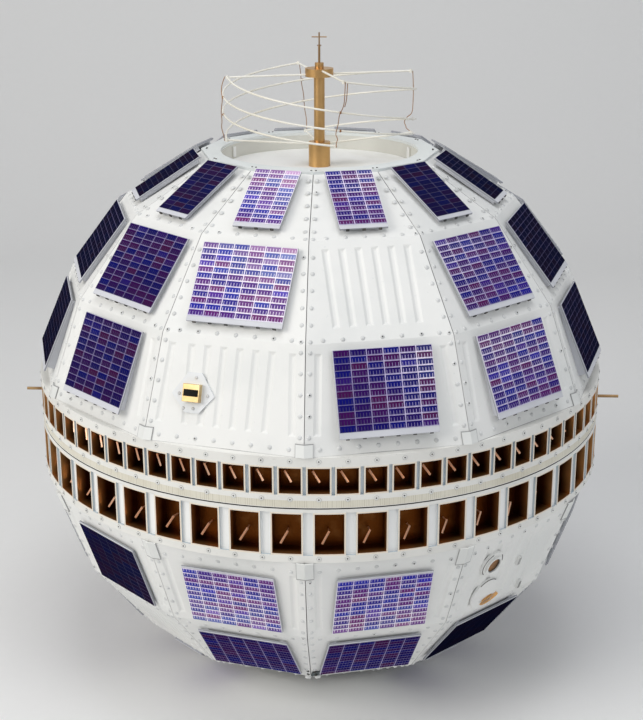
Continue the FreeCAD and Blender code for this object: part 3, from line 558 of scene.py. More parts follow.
far = calc(tree, "MULTIPLY", calc(tree, "GREATER_THAN", beside, RIM_W - EDGE),
           calc(tree, "LESS_THAN", past, LAND_OVER + EDGE))
land = calc(tree, "MULTIPLY", far, sunk)
shallow = calc(tree, "GREATER_THAN", out_r, BELT_R - LAND_DEPTH + EDGE)
off_joint = calc(tree, "ABSOLUTE", calc(tree, "SUBTRACT", height, RING_JOINT_Z / 2))
between = calc(tree, "LESS_THAN", off_joint, RING_JOINT_Z / 2 + JOINT_OVER)
masks = (inside, rim, land, calc(tree, "MULTIPLY", land, shallow), calc(tree, "MULTIPLY", between, sunk),
         calc(tree, "SUBTRACT", BELT_R, out_r))
for label, mask in zip(BOX_MASKS, masks):
    tree.links.new(mask, made[label])


def belt_material(name, boxes, land_shading):
    """Painted ring with copper cavities, cream rims and sunk lands."""
    material = finished(name, sprayed, BELT_WHITE, BELT_STAIN, 0.42, 0.12)
    tree = material.node_tree
    masks = wire(tree, "ShaderNodeGroup", boxes, node_tree=box_masks).outputs
    # Painted shade greys the side walls of the sunk lands.
    coats = {"Rim": RIM_CREAM, "Land": land_shading, "Wall Shade": WALL_SHADE, "Joint": JOINT_DARK}
    for label, colour in coats.items():
        coloured_over(material, masks[label], colour)
    cloud = calc(tree, "SUBTRACT", noise(tree, object_place(tree)[0], 60.0, 2.0), 0.5)
    # Painted shade: the copper darkens deeper into each cavity, in cloudy patches.
    cavity_shade = step_between(tree, masks["Depth"], 0.0, CAVITY_DEPTH)
    cavity_shade = calc(tree, "ADD", cavity_shade, calc(tree, "MULTIPLY", cloud, CAVITY_CLOUD))
    coloured_over(material, masks["Inside"], tint(tree, cavity_shade, COPPER_NEAR, COPPER_SHADE))
    tree.links.new(masks["Inside"], tree.nodes["Principled BSDF"].inputs["Metallic"])
    return material


# The small cavities' lands get a blue-grey painted shade; the large cavities' lands get a whiter painted
# light.
dress(belt_material("receive_belt", RECEIVE_BOXES, LAND_SHADE_BLUE), "receive_antenna_ring")
dress(belt_material("transmit_belt", TRANSMIT_BOXES, LAND_LIT_WHITE), "transmit_antenna_ring")
bright_copper = finished("bright_copper", brushed, (0.98, 0.60, 0.40), (0.92, 0.50, 0.31), 0.30, 0.2,
                         Metallic=0.35)
dress(bright_copper, "receive_probes", "transmit_probes")


# Belt screws
# A ring of small dark screws holds each rim of the belt, and one runs between the two rows of cavities.
# Each screw sits in a raised painted collar whose edge is painted darker as shade.
BELT_SCREW_Z = (0.0673, 0.0139, -0.071)
BELT_SCREW_AZ = [2.5 + 5.0 * i for i in range(72)]
COLLAR_RISE = 0.0007
BELT_COLLAR = ("belt_collar_one", 12, 0.0035, 0.0032, COLLAR_RISE, ((0.0004, 0.0),))
BELT_SCREW = ("belt_screw_one", 8, 0.0011, 0.000935, 0.0012, ((0.0004, -0.0003),))

outward = Matrix.Rotation(math.pi / 2, 4, "X")
belt_spots = [about_axis(azimuth) @ Matrix.Translation((0, -BELT_R, EQUATOR_Z + z)) @ outward
              for z in BELT_SCREW_Z for azimuth in BELT_SCREW_AZ]
collar = turned_knob(*BELT_COLLAR)
for face in collar.polygons:
    face.material_index = 0 if len(face.vertices) > 4 and face.center.z > COLLAR_RISE / 2 else 1
collar_paint = finished("collar_paint", sprayed, (0.80, 0.80, 0.77), (0.68, 0.68, 0.65), 0.4, 0.1)
# Painted shade on the collars' side faces.
collar_edge_shade = finished("collar_edge_shade", sprayed, (0.56, 0.57, 0.55), (0.44, 0.44, 0.43), 0.5, 0.1)
carried(scattered("belt_collars", collar, belt_spots, [collar_paint, collar_edge_shade]), "belt_coat")
carried(scattered("belt_screws", turned_knob(*BELT_SCREW), belt_spots, [dark_steel_and_shade]), "bare_aluminium")


# Equator band
# A strip of aged cream plastic is wrapped round under the small cavities. Faint ticks run across it.
BAND_CREAM = (0.74, 0.71, 0.60)
BAND_SHADE = (0.66, 0.62, 0.50)
TICK_COUNT = 900
TICK_COLOUR = (0.50, 0.46, 0.36)

band_plastic = finished("band_plastic", sprayed, BAND_CREAM, BAND_SHADE, 0.5, 0.1)
tree = band_plastic.node_tree
azimuth, _, _ = round_axis(tree)
ticks = calc(tree, "MULTIPLY", calc(tree, "ADD", azimuth, math.pi), TICK_COUNT / (2 * math.pi))
line = step_between(tree, calc(tree, "PINGPONG", ticks, 0.5), 0.08, 0.2, 1.0, 0.0)
which = wire(tree, "ShaderNodeTexWhiteNoise", {"W": calc(tree, "ROUND", ticks)}, noise_dimensions="1D")
strong = calc(tree, "MULTIPLY", line, calc(tree, "MULTIPLY", which.outputs[0], 0.7))
coloured_over(band_plastic, strong, TICK_COLOUR)
dress(band_plastic, "equator_band")


# Solar panels
# Sixty thin trays stand off the sheet on two rails each, and every tray carries twelve rows of covered
# silicon cells. A cell is 20 mm long, with a collecting strip on one edge and five fine fingers, and its
# tint goes from royal blue to maroon. The silvery bed shows as lines between the cells. A painted glint
# lights the metal lines, fingers and strips panel by panel, and the tray sides carry painted shade.
CELL_W = 0.0206
CELL_SHARE = 0.885
CELL_PITCH_U = 0.0221
CELL_ROWS = 12
TRAY_COLUMN_W = 0.0223
TRAY_T = 0.0032
TRAY_BEVEL = 0.0005
TRAY_HEAD = 0.0008
BED_LIFT, CELL_LIFT = 0.0002, 0.0005
CELL_LEAN = 0.006
TRAY_COLUMNS = {"C": 3, "B": 6, "A": 6}
# Where a tray starts on its facet, its height, and how far it stands off at its foot and at its head.
UPPER_TRAYS = {"C": (0.0110, 0.1120, 0.0060, 0.0060), "B": (0.0155, 0.1145, 0.0065, 0.0050),
               "A": (0.0205, 0.1155, 0.0125, 0.0040)}
LOWER_TRAYS = {"C": (0.0140, 0.1048, 0.003, 0.003), "B": (0.0217, 0.1048, 0.003, 0.003),
               "A": (0.0317, 0.1048, 0.003, 0.003)}
UPPER_STRIP = {"C": 0.0070, "B": 0.0076, "A": 0.0084}
LOWER_STRIP = 0.0025
RAIL_W, RAIL_IN, RAIL_SHORT = 0.006, 0.010, 0.005
CLIP_W, CLIP_OUT, CLIP_H, CLIP_HIDDEN = 0.0045, 0.0014, 0.0022, 0.0003
CLIP_INSET = 0.011
PAINT, BED, CELL, STEEL, SIDE = range(5)
BARE_FACETS = {False: {"C": (), "B": (0, 6), "A": (11, 5)},
               True: {"C": (0, 6, 11, 5), "B": (10, 4), "A": (1, 7)}}
# Painted reflection: single cells differ by LIGHT_SPREAD, and a panel's painted glint grows towards its far
# end from the belt. LIGHT_ON gives the painted glint of a panel's metal lines at its left and right edges,
# and how lit its cell colours are painted. Other panels draw theirs.
LIGHT_SPREAD = (0.90, 1.08)
LIGHT_FOOT, LIGHT_RISE = 0.88, 0.30
LIGHT_ON = {(False, "C", 11): (0.86, 1.10, 1.4), (False, "C", 0): (0.66, 0.80, 0.9),
            (False, "C", 1): (0.15, 0.17, 0.30), (False, "C", 2): (0.14, 0.14, 0.18),
            (False, "C", 10): (0.17, 0.19, 0.31), (False, "C", 9): (0.12, 0.12, 0.18),
            (False, "B", 11): (0.80, 1.08, 1.25), (False, "B", 10): (0.34, 0.29, 0.42),
            (False, "B", 9): (0.20, 0.20, 0.15), (False, "B", 1): (0.70, 0.58, 0.80),
            (False, "B", 2): (0.20, 0.18, 0.16), (False, "A", 0): (0.30, 0.78, 0.62),
            (False, "A", 1): (0.78, 0.70, 0.95), (False, "A", 2): (0.22, 0.20, 0.16),
            (False, "A", 10): (0.35, 0.31, 0.40), (False, "A", 9): (0.18, 0.18, 0.13),
            (True, "A", 11): (0.96, 0.88, 1.4), (True, "A", 0): (0.86, 0.86, 1.4),
            (True, "A", 10): (0.05, 0.16, 0.24), (True, "A", 2): (0.05, 0.05, 0.14),
            (True, "B", 11): (0.42, 0.46, 0.55), (True, "B", 0): (0.46, 0.46, 0.60),
            (True, "B", 1): (0.03, 0.03, 0.12), (True, "B", 2): (0.03, 0.03, 0.12)}
TINTS = ((0.0, (0.006, 0.012, 0.32)), (0.25, (0.014, 0.010, 0.22)), (0.48, (0.036, 0.008, 0.18)),
         (0.68, (0.085, 0.009, 0.16)), (0.88, (0.13, 0.012, 0.11)), (1.0, (0.010, 0.018, 0.40)))
UNLIT_NAVY = (0.045, 0.06, 0.14)
GLARE_BLUE = (0.50, 0.60, 0.92)
GLARE_PINK = (0.88, 0.56, 0.84)
LINES = ((0.0, (0.006, 0.006, 0.02)), (0.16, (0.045, 0.045, 0.085)), (0.35, (0.19, 0.165, 0.32)),
         (0.58, (0.45, 0.40, 0.64)), (0.82, (0.86, 0.79, 0.94)), (1.0, (0.98, 0.93, 1.0)))
FINGERS, FINGER_SIDE, FINGER_END = 5.0, (0.375, 0.44), 0.70
STRIP_END = 0.11
GLARE_POWER, GLARE_SHARE, GLARE_MOST = 6.0, 0.13, 0.8

tray_paint = finished("tray_paint", sprayed, (0.64, 0.65, 0.69), (0.56, 0.57, 0.61), 0.4, 0.1)
# The tray's sides are painted darker as shade.
tray_side_shade = finished("tray_side_shade", sprayed, (0.33, 0.34, 0.37), (0.26, 0.27, 0.30), 0.5, 0.1)


def graded(tree, value, stops):
    """Colour from a ramp with the given stops."""
    ramp = wire(tree, "ShaderNodeValToRGB", {"Fac": value})
    while len(ramp.color_ramp.elements) < len(stops):
        ramp.color_ramp.elements.new(0.5)
    for element, (position, colour) in zip(ramp.color_ramp.elements, stops):
        element.position, element.color = position, (*colour, 1)
    return ramp.outputs[0]


# Metal lines: silvery where the painted glint is strong, nearly as dark as the cells elsewhere.
panel_lines, given, made = new_group("panel_lines", {}, {"Bed Colour": "Color", "Finger Colour": "Color"})
painted_glint = wire(panel_lines, "ShaderNodeAttribute", attribute_name="painted_glint").outputs["Fac"]
mottle = noise(panel_lines, object_place(panel_lines)[0], 240.0, 2.0)
painted_glint = calc(panel_lines, "MULTIPLY", painted_glint, step_between(panel_lines, mottle, 0.3, 0.7, 0.88, 1.08))
for label, power in (("Bed Colour", 0.85), ("Finger Colour", 1.5)):
    panel_lines.links.new(graded(panel_lines, calc(panel_lines, "POWER", painted_glint, power), LINES), made[label])

connector, tree, shader = new_material("cell_connector", Roughness=0.4, Specular_IOR_Level=0.0)
lines = wire(tree, "ShaderNodeGroup", node_tree=panel_lines).outputs
tree.links.new(lines["Bed Colour"], shader.inputs["Base Color"])

cell_glass, tree, shader = new_material("covered_cell", Specular_IOR_Level=0.0)
square = wire(tree, "ShaderNodeUVMap", uv_map="cell_uv").outputs[0]
uv = wire(tree, "ShaderNodeSeparateXYZ", {0: square}).outputs
tone, painted_glint, depth = [wire(tree, "ShaderNodeAttribute", attribute_name=name).outputs["Fac"]
                       for name in ("tone", "painted_glint", "depth")]
cloud = noise(tree, object_place(tree)[0], 130.0, 2.0)
silicon = tint(tree, calc(tree, "MULTIPLY", cloud, 0.35), graded(tree, tone, TINTS), (0.02, 0.010, 0.09))
# Painted light: depth scales the cells' colour by how lit each panel is painted, turning it to unlit navy
# where low.
silicon = tint(tree, step_between(tree, depth, 0.12, 0.45, 0.65, 0.0), silicon, UNLIT_NAVY)
silicon = wire(tree, "ShaderNodeVectorMath", {0: silicon, "Scale": depth}, operation="SCALE").outputs[0]
# Painted glare: a blue or pink sheen laid over the cells where the painted glint is strong.
glare = calc(tree, "MULTIPLY", calc(tree, "POWER", painted_glint, GLARE_POWER), GLARE_SHARE)
shine = tint(tree, step_between(tree, tone, 0.3, 0.5), GLARE_BLUE, GLARE_PINK)
lit = tint(tree, calc(tree, "MINIMUM", glare, GLARE_MOST), silicon, shine)
across = calc(tree, "PINGPONG", calc(tree, "MULTIPLY", uv[0], FINGERS), 0.5)
finger = calc(tree, "MULTIPLY", step_between(tree, across, *FINGER_SIDE),
              calc(tree, "LESS_THAN", uv[1], FINGER_END))
# The collecting strip only shows where the painted glint is strong.
strip = calc(tree, "MULTIPLY", calc(tree, "LESS_THAN", uv[1], STRIP_END),
             step_between(tree, painted_glint, 0.2, 0.8))
metal = calc(tree, "MAXIMUM", calc(tree, "MULTIPLY", finger, 0.9), strip)
lines = wire(tree, "ShaderNodeGroup", node_tree=panel_lines).outputs
tree.links.new(tint(tree, metal, lit, lines["Finger Colour"]), shader.inputs["Base Color"])
rough = calc(tree, "ADD", 0.16, calc(tree, "MULTIPLY", metal, 0.2))
tree.links.new(rough, shader.inputs["Roughness"])


def add_box(bm, low, high, slot):
    """Box between two corners."""
    box = bmesh.ops.create_cube(bm, size=1.0)["verts"]
    size = [b - a for a, b in zip(low, high)]
    bmesh.ops.scale(bm, verts=box, vec=size)
    bmesh.ops.translate(bm, verts=box, vec=[(a + b) / 2 for a, b in zip(low, high)])
    for face in {face for vert in box for face in vert.link_faces}:
        face.material_index = slot
    return box


def add_leaf(bm, middle, size, lean, slot, layers):
    """Flat rectangle with its own texture square and surface values."""
    corners = bmesh.ops.create_grid(bm, x_segments=1, y_segments=1, size=0.5)["verts"]
    face = corners[0].link_faces[0]
    uv_layer = bm.loops.layers.uv["cell_uv"]
    for loop in face.loops:
        loop[uv_layer].uv = loop.vert.co.x + 0.5, loop.vert.co.y + 0.5
    leaning = Matrix.Rotation(lean[0], 4, "X") @ Matrix.Rotation(lean[1], 4, "Y")
    place = Matrix.Translation(middle) @ leaning @ Matrix.Diagonal((*size, 1, 1))
    bmesh.ops.transform(bm, verts=corners, matrix=place)
    face.material_index = slot
    for key, value in layers.items():
        face[bm.faces.layers.float[key]] = value


def poured(source, target):
    """Put one mesh into another and free it."""
    stored = bpy.data.meshes.new("panel_one")
    source.to_mesh(stored)
    source.free()
    target.from_mesh(stored)
    bpy.data.meshes.remove(stored)


def solar_panel(row, lower, number):
    """Tray, rails and cells of one panel, in its facet's frame."""
    columns = TRAY_COLUMNS[row]
    start, height, low, high = (LOWER_TRAYS if lower else UPPER_TRAYS)[row]
    strip = LOWER_STRIP if lower else UPPER_STRIP[row]
    half = columns * TRAY_COLUMN_W / 2
    usual = 0.12 + 0.4 * seeded.random()
    drawn = (usual, usual, 0.5 + 0.6 * seeded.random())
    # depth is how lit the panel's cells are painted; unseen panels draw it at random.
    left_light, right_light, depth = LIGHT_ON.get((lower, row, number), drawn)
    # The bevel leaves gaps in its mesh, and faces added later fill them in an order that changes from run to
    # run. So the tray is made in a mesh of its own.
    tray = bmesh.new()
    add_box(tray, (-half, 0, 0), (half, height, TRAY_T), PAINT)
    # Painted shade on the tray's side faces.
    for face in tray.faces:
        if abs(face.calc_center_median().z - TRAY_T / 2) < TRAY_BEVEL:
            face.material_index = SIDE
    bevelled(tray, tray.edges[:], TRAY_BEVEL)
    bm = bmesh.new()
    poured(tray, bm)
    bm.loops.layers.uv.new("cell_uv")
    for key in ("tone", "painted_glint", "depth"):
        bm.faces.layers.float.new(key)
    bed_left = -columns * CELL_PITCH_U / 2
    pitch_v = (height - TRAY_HEAD - strip) / CELL_ROWS
    for i in range(columns):
        for j in range(CELL_ROWS):
            middle = (bed_left + (i + 0.5) * CELL_PITCH_U, strip + (j + 0.5) * pitch_v)
            share = (i + 0.5) / columns
            if lower:
                share = 1 - share
            light = left_light + (right_light - left_light) * share
            light *= seeded.uniform(*LIGHT_SPREAD) * (LIGHT_FOOT + LIGHT_RISE * j / CELL_ROWS)
            values = {"tone": seeded.random(), "painted_glint": light, "depth": depth}
            add_leaf(bm, (*middle, TRAY_T + BED_LIFT), (CELL_PITCH_U, pitch_v), (0, 0), BED, values)
            lean = [seeded.uniform(-1, 1) * CELL_LEAN for _ in range(2)]
            add_leaf(bm, (*middle, TRAY_T + CELL_LIFT), (CELL_W, pitch_v * CELL_SHARE), lean, CELL, values)
    if not lower:
        for i in range(columns):
            clip = -half + CLIP_INSET + i * (2 * half - 2 * CLIP_INSET) / (columns - 1)
            add_box(bm, (clip - CLIP_W / 2, -CLIP_OUT, -CLIP_H / 3),
                    (clip + CLIP_W / 2, CLIP_HIDDEN, CLIP_H), STEEL)
    slope = Matrix.Rotation(math.asin((high - low) / height), 4, "X")
    bmesh.ops.transform(bm, verts=bm.verts, matrix=Matrix.Translation((0, start, low)) @ slope)
    for side in (-1, 1):
        left = side * (half - RAIL_IN) - RAIL_W / 2
        rail_start, rail_end = start + RAIL_SHORT, start + height - RAIL_SHORT
        rail = add_box(bm, (left, rail_start, SEATED), (left + RAIL_W, rail_end, low + TRAY_T / 2), PAINT)
        for vert in rail:
            if vert.co.z > low / 2 and vert.co.y > (rail_start + rail_end) / 2:
                vert.co.z = high + TRAY_T / 2
    return bm


for lower in (False, True):
    for row in ROWS:
        whole = bmesh.new()
        for number, azimuth in enumerate(GORE_AZIMUTHS):
            if number in BARE_FACETS[lower][row]:
                continue
            panel = solar_panel(row, lower, number)
            panel.transform(facet_frame(row, azimuth, lower))
            poured(panel, whole)
        side = "lower" if lower else "upper"
        panels = new_piece(f"solar_cells_{side}_{row.lower()}", whole,
                           [tray_paint, connector, cell_glass, dark_steel_and_shade, tray_side_shade])
        carried(panels, "solar_cells", f"cell_panels_{side}_{row.lower()}")


# Mast and hub
# The sleeve, tube and hub that carry the helical antenna are turned from aluminium and anodised gold, with
# a satin surface. The thin rod above them carries a cross bar.
GOLD = (0.70, 0.43, 0.18)
GOLD_SHADE = (0.64, 0.38, 0.15)

gold_anodised = finished("gold_anodised", brushed, GOLD, GOLD_SHADE, 0.34, 0.02, Metallic=1.0)
dress(gold_anodised, "mast_sleeve", "mast_tube", "antenna_hub")
aged_bronze = finished("aged_bronze", brushed, (0.46, 0.30, 0.15), (0.30, 0.18, 0.09), 0.38, 0.3,
                       Metallic=1.0)
dress(aged_bronze, "tip_rod", "side_pins")


# Helical antenna
# Four stiff wires in cream enamel fall round the mast, each from a straight arm on the hub to an arm on
# the sleeve, and spring out to a full round between. Waxed brown cord is lashed down the coil at each arm.
TOP_ARM_AZ = -73.5
COIL_TURN = 265.5
COIL_R = 0.1435
COIL_SPRING = 0.6
COIL_POINTS = 30
WIRE_R = 0.0015
# The top and the low end of each wire, as radius and height.
COIL_TIPS = (((0.1375, 0.5050), (0.1380, 0.3995)), ((0.1420, 0.5117), (0.1388, 0.4119)),
             ((0.1410, 0.5054), (0.1420, 0.4231)), ((0.1380, 0.5054), (0.1400, 0.4148)))
CORD_R = 0.0006
CORDS = (
    ((0.1410, -73.5, 0.506), (0.1447, -75.5, 0.496), (0.1462, -75.0, 0.485), (0.1455, -73.0, 0.474),
     (0.1456, -76.5, 0.463), (0.1465, -77.5, 0.452), (0.1456, -75.5, 0.442), (0.1462, -79.0, 0.430),
     (0.1435, -76.5, 0.420), (0.1420, -78.0, 0.411)),
    ((0.1460, 17.0, 0.512), (0.1462, 16.8, 0.497), (0.1462, 16.3, 0.479), (0.1470, 13.6, 0.468),
     (0.1460, 13.3, 0.459), (0.1470, 12.8, 0.452), (0.1462, 11.4, 0.440), (0.1468, 13.0, 0.434),
     (0.1462, 11.8, 0.428), (0.1455, 12.1, 0.422)),
    ((0.1440, 106.5, 0.505), (0.1455, 107.2, 0.492), (0.1458, 106.7, 0.478), (0.1462, 107.4, 0.460),
     (0.1456, 107.7, 0.441), (0.1420, 112.5, 0.435), (0.1400, 115.9, 0.426), (0.1400, 112.0, 0.420),
     (0.1405, 113.0, 0.417), (0.1425, 102.5, 0.414)),
    ((0.1412, -164.5, 0.505), (0.1450, -165.6, 0.490), (0.1462, -166.1, 0.473), (0.1468, -167.6, 0.455),
     (0.1458, -168.0, 0.431), (0.1450, -169.4, 0.415), (0.1418, -168.9, 0.399)),
)
SECOND_STRAND = ((0.1455, 18.4, 0.510), (0.1468, 17.9, 0.497), (0.1470, 17.6, 0.486), (0.1462, 16.6, 0.478))
WRAP_R, WRAP_LENGTH = 0.0019, 0.0022


def round_place(radius, azimuth, height):
    """Point at a radius and a height on an azimuth."""
    angle = math.radians(azimuth)
    return Vector((radius * math.sin(angle), -radius * math.cos(angle), EQUATOR_Z + height))


def tube(name, routes, radius, material, order=4):
    """Round wires, each along a smooth spline with the given control points."""
    curve = bpy.data.curves.new(name + "_route", "CURVE")
    curve.dimensions = "3D"
    curve.bevel_depth, curve.bevel_resolution, curve.use_fill_caps = radius, 2, True
    curve.resolution_u = 5
    for route in routes:
        spline = curve.splines.new("NURBS")
        spline.points.add(len(route) - 1)
        for point, place in zip(spline.points, route):
            point.co = (*place, 1)
        spline.order_u = order
        spline.use_endpoint_u = True
    holder = bpy.data.objects.new(name + "_route", curve)
    mesh = bpy.data.meshes.new_from_object(holder)
    bm = bmesh.new()
    bm.from_mesh(mesh)
    bpy.data.objects.remove(holder)
    bpy.data.curves.remove(curve)
    bpy.data.meshes.remove(mesh)
    return new_piece(name, bm, [material], smooth=True)


coil_routes = []
for i, ((high_r, high_z), (low_r, low_z)) in enumerate(COIL_TIPS):
    start_az = TOP_ARM_AZ + 90 * i
    route = []
    for n in range(COIL_POINTS + 1):
        share = n / COIL_POINTS
        straight = high_r + (low_r - high_r) * share
        radius = straight + (COIL_R - straight) * math.sin(math.pi * share) ** COIL_SPRING
        route.append(round_place(radius, start_az + COIL_TURN * share, high_z + (low_z - high_z) * share))
    coil_routes.append(route)
wire_enamel = finished("wire_enamel", sprayed, (0.86, 0.84, 0.76), (0.78, 0.74, 0.62), 0.26, 0.1)
carried(tube("coil_wires", coil_routes, WIRE_R, wire_enamel), "wire_enamel", "helix_wires")
dress(wire_enamel, "helix_top_arms", "helix_low_arms")

waxed_cord = finished("waxed_cord", sprayed, (0.36, 0.17, 0.06), (0.20, 0.085, 0.03), 0.6, 0.5)
cord_routes = [[round_place(*point) for point in cord] for cord in (*CORDS, SECOND_STRAND)]
carried(tube("coil_cords", cord_routes, CORD_R, waxed_cord, order=3), "lashing_cord", "helix_ties")
bm = bmesh.new()
for i, cord in enumerate(CORDS):
    azimuth = (cord[0][1] + cord[-1][1]) / 2
    behind, ahead = [round_place(COIL_R, azimuth + turn, 0) for turn in (-1, 1)]
    aim = (ahead - behind).to_track_quat("Z", "Y").to_matrix().to_4x4()
    for number in ((i - 1) % 4, (i - 2) % 4):
        share = ((azimuth - TOP_ARM_AZ - 90 * number) % 360) / COIL_TURN
        (_, high_z), (_, low_z) = COIL_TIPS[number]
        middle = round_place(COIL_R, azimuth, high_z + (low_z - high_z) * share)
        wrap = bmesh.ops.create_cone(bm, cap_ends=True, segments=10, radius1=WRAP_R, radius2=WRAP_R,
                                     depth=WRAP_LENGTH)["verts"]
        bmesh.ops.transform(bm, verts=wrap, matrix=Matrix.Translation(middle) @ aim)
carried(new_piece("coil_wraps", bm, [waxed_cord]), "lashing_cord")


# Sun sensors
# A gold-plated box with a black glass slot across its face stands on a six-sided painted plate with bolts.
SENSOR_AZ = (-15.0, 165.0)
SENSOR_SPOT = (-0.047, 0.0684)
# Width and height of the glass, and how far its back and its front are from the facet.
SENSOR_GLASS = ((0.0206, 0.0092), 0.0070, 0.0111)
SENSOR_BOLT = ("sensor_bolt_one", 8, 0.0024, 0.0020, 0.0010, ((0.0006, 0.0003),))
SENSOR_BOLTS = ((-0.0452, 0.048), (-0.0264, 0.0663), (-0.0446, 0.089), (-0.0665, 0.0663), (-0.0590, 0.0475))
SENSOR_BASE_T = 0.0024


def add_block(bm, spot, size, low, high):
    """Box on a spot of the facet, between two heights over it."""
    (u, v), (wide, tall) = spot, size
    return add_box(bm, (u - wide / 2, v - tall / 2, low), (u + wide / 2, v + tall / 2, high), 0)


gold_plate = finished("gold_plate", brushed, (0.84, 0.66, 0.36), (0.70, 0.50, 0.24), 0.34, 0.1, Metallic=1.0)
dress(gold_plate, "sun_sensors")
sensor_coat = finished("sensor_coat", sprayed, (0.78, 0.80, 0.81), (0.70, 0.72, 0.74), 0.36, 0.1)
dress(sensor_coat, "sun_sensor_bases")
black_glass = finished("black_glass", sprayed, (0.006, 0.006, 0.005), (0.010, 0.009, 0.008), 0.12, 0.0,
                       Specular_IOR_Level=0.08)
bolt = turned_knob(*SENSOR_BOLT)
bolt_spots = []
bm = bmesh.new()
for azimuth in SENSOR_AZ:
    frame_here = facet_frame("A", azimuth, False)
    bmesh.ops.transform(bm, verts=add_block(bm, SENSOR_SPOT, *SENSOR_GLASS), matrix=frame_here)
    bolt_spots += [frame_here @ Matrix.Translation((u, v, SENSOR_BASE_T)) for u, v in SENSOR_BOLTS]
carried(new_piece("sensor_glass", bm, [black_glass]), "gold_anodised")
bolt_pale = finished("bolt_pale", brushed, (0.62, 0.62, 0.61), (0.48, 0.48, 0.47), 0.4, 0.2, Metallic=0.2)
carried(scattered("sensor_bolts", bolt, bolt_spots, [bolt_pale]), "bare_aluminium")


# Keel fitting
# A dark plate is bolted over the seam at the lower end of the front gores, with two round feet beside it.
# Places are measured from the seam and from the belt side edge of the row: the plate and its bolts are on
# the middle row, the feet on the one next to the pole.
KEEL_SPOT, KEEL_SIZE, KEEL_T = (0.00935, 0.1335), (0.0163, 0.014), 0.0018
KEEL_BEVEL = 0.0004
KEEL_BOLTS = ((-0.0040, 0.1250), (-0.0040, 0.1370), (0.0060, 0.1245), (0.0075, 0.1365), (0.0190, 0.1330))
KEEL_FEET = ((-0.0045, 0.0040), (0.0095, 0.0040))
KEEL_FOOT = ("keel_foot_one", 14, 0.0046, 0.0042, 0.0032, ((0.0012, 0.0008), (0.0014, 0.0003)))


def by_seam(row, off_seam, v, lift=0.0):
    """Place on a lower facet of the front seam, counted to the right from the seam."""
    side = 1 if off_seam > 0 else -1
    u = side * half_width(row, v) - off_seam
    return facet_frame(row, side * GORE_AZIMUTHS[0], True) @ Matrix.Translation((u, v, lift))


bm = bmesh.new()
add_block(bm, (0, 0), KEEL_SIZE, 0, KEEL_T)
bevelled(bm, bm.edges[:], KEEL_BEVEL)
bm.transform(by_seam("B", *KEEL_SPOT))
keel_grey = finished("keel_grey", brushed, (0.07, 0.095, 0.10), (0.03, 0.04, 0.045), 0.4, 0.2, Metallic=0.6)
carried(new_piece("keel_plate", bm, [keel_grey]), "bare_aluminium")
keel_bolts = [by_seam("B", *spot, KEEL_T if spot[0] > 0 else 0) for spot in KEEL_BOLTS]
carried(scattered("keel_bolts", bolt, keel_bolts, [dark_steel_and_shade]), "bare_aluminium")
keel_feet = [by_seam("C", *spot) for spot in KEEL_FEET]
carried(scattered("keel_feet", turned_knob(*KEEL_FOOT), keel_feet, [plain_white]), "white_coat")


# Service port and window
# An amber disc sits in a painted ring, a round cover leaves a gold lip open beside it, and two plugs have
# dark faces. Thin dark lines lie round the disc, the ring and the cover as painted shadow. All are on one
# facet of the lower half.
PORT_AZ = 45.0
PORT = (0.043, 0.0555)
PORT_AMBER = ("port_amber_one", 40, 0.0112, 0.0112, 0.0008,
              ((0.0022, -0.0004), (0.0030, 0.0006), (0.0024, 0.0)))
AMBER_FOOT = 0.0048
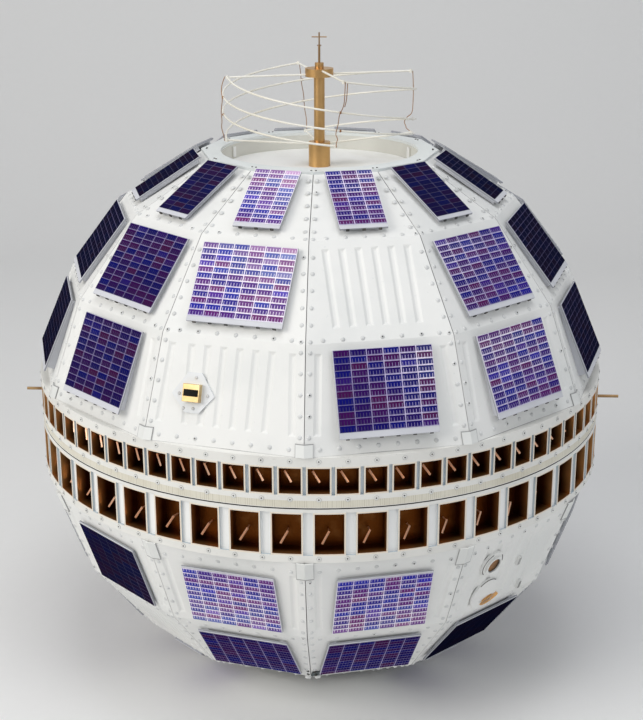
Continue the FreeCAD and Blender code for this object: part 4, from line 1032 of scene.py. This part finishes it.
# Painted shadow lines: the middle of a line, its radius, the angles where it starts and ends, and its height
# over the facet.
PORT_SHADOW_ARCS = ((PORT, 0.0195, -75, 45, 0.0037), (PORT, 0.0195, 115, 220, 0.0037),
             (PORT, 0.0112, 10, 350, 0.0056), ((0.033, 0.1165), 0.0262, -125, -50, 0.0028))
ARC_R = 0.0008
LIP_SPOT, LIP_TURN, LIP_SIZE = (0.0180, 0.1325, 0.0021), 12.0, (0.036, 0.0115, 0.0042)
LIP_STEP = (0.0016, -0.0012)
PLUG_SPOTS = ((-0.0245, 0.077), (-0.049, 0.133))
PLUG_FACE, PLUG_FACE_T = (0.0042, 0.0125), 0.0004
PLUG_TOP = 0.004

dress(plain_white, "service_ports")
amber = finished("amber_disc", brushed, (0.30, 0.13, 0.03), (0.10, 0.045, 0.012), 0.32, 0.3, Metallic=0.8)
facet_here = facet_frame("A", PORT_AZ, True)
amber_spot = facet_here @ Matrix.Translation((*PORT, AMBER_FOOT))
carried(scattered("port_amber", turned_knob(*PORT_AMBER), [amber_spot], [amber]), "gold_anodised")

# Painted shadow: thin dark tubes along the edges of the disc, the ring and the cover.
shadow_routes = []
for (u, v), arc_r, arc_start, arc_end, level in PORT_SHADOW_ARCS:
    angles = [math.radians(arc_start + (arc_end - arc_start) * n / 12) for n in range(13)]
    arc = [Vector((u + arc_r * math.cos(a), v + arc_r * math.sin(a), level)) for a in angles]
    shadow_routes.append([facet_here @ point for point in arc])
carried(tube("port_shadow_lines", shadow_routes, ARC_R, dark_steel_and_shade), "bare_aluminium")

bm = bmesh.new()
bmesh.ops.create_cone(bm, cap_ends=True, segments=40, radius1=0.5, radius2=0.5, depth=1.0)
bmesh.ops.scale(bm, verts=bm.verts, vec=LIP_SIZE)
step_top(bm, [LIP_STEP])
bm.transform(facet_here @ Matrix.Translation(LIP_SPOT) @ about_axis(LIP_TURN))
lip_gold = finished("lip_gold", brushed, (0.80, 0.44, 0.16), (0.55, 0.28, 0.09), 0.3, 0.3, Metallic=0.5)
carried(new_piece("window_lip", bm, [lip_gold]), "gold_anodised")

bm = bmesh.new()
for spot in PLUG_SPOTS:
    add_block(bm, spot, PLUG_FACE, PLUG_TOP, PLUG_TOP + PLUG_FACE_T)
bm.transform(facet_here)
bolt_grey = finished("bolt_grey", brushed, (0.42, 0.42, 0.41), (0.30, 0.30, 0.29), 0.4, 0.2, Metallic=0.7)
carried(new_piece("plug_faces", bm, [bolt_grey]), "bare_aluminium")
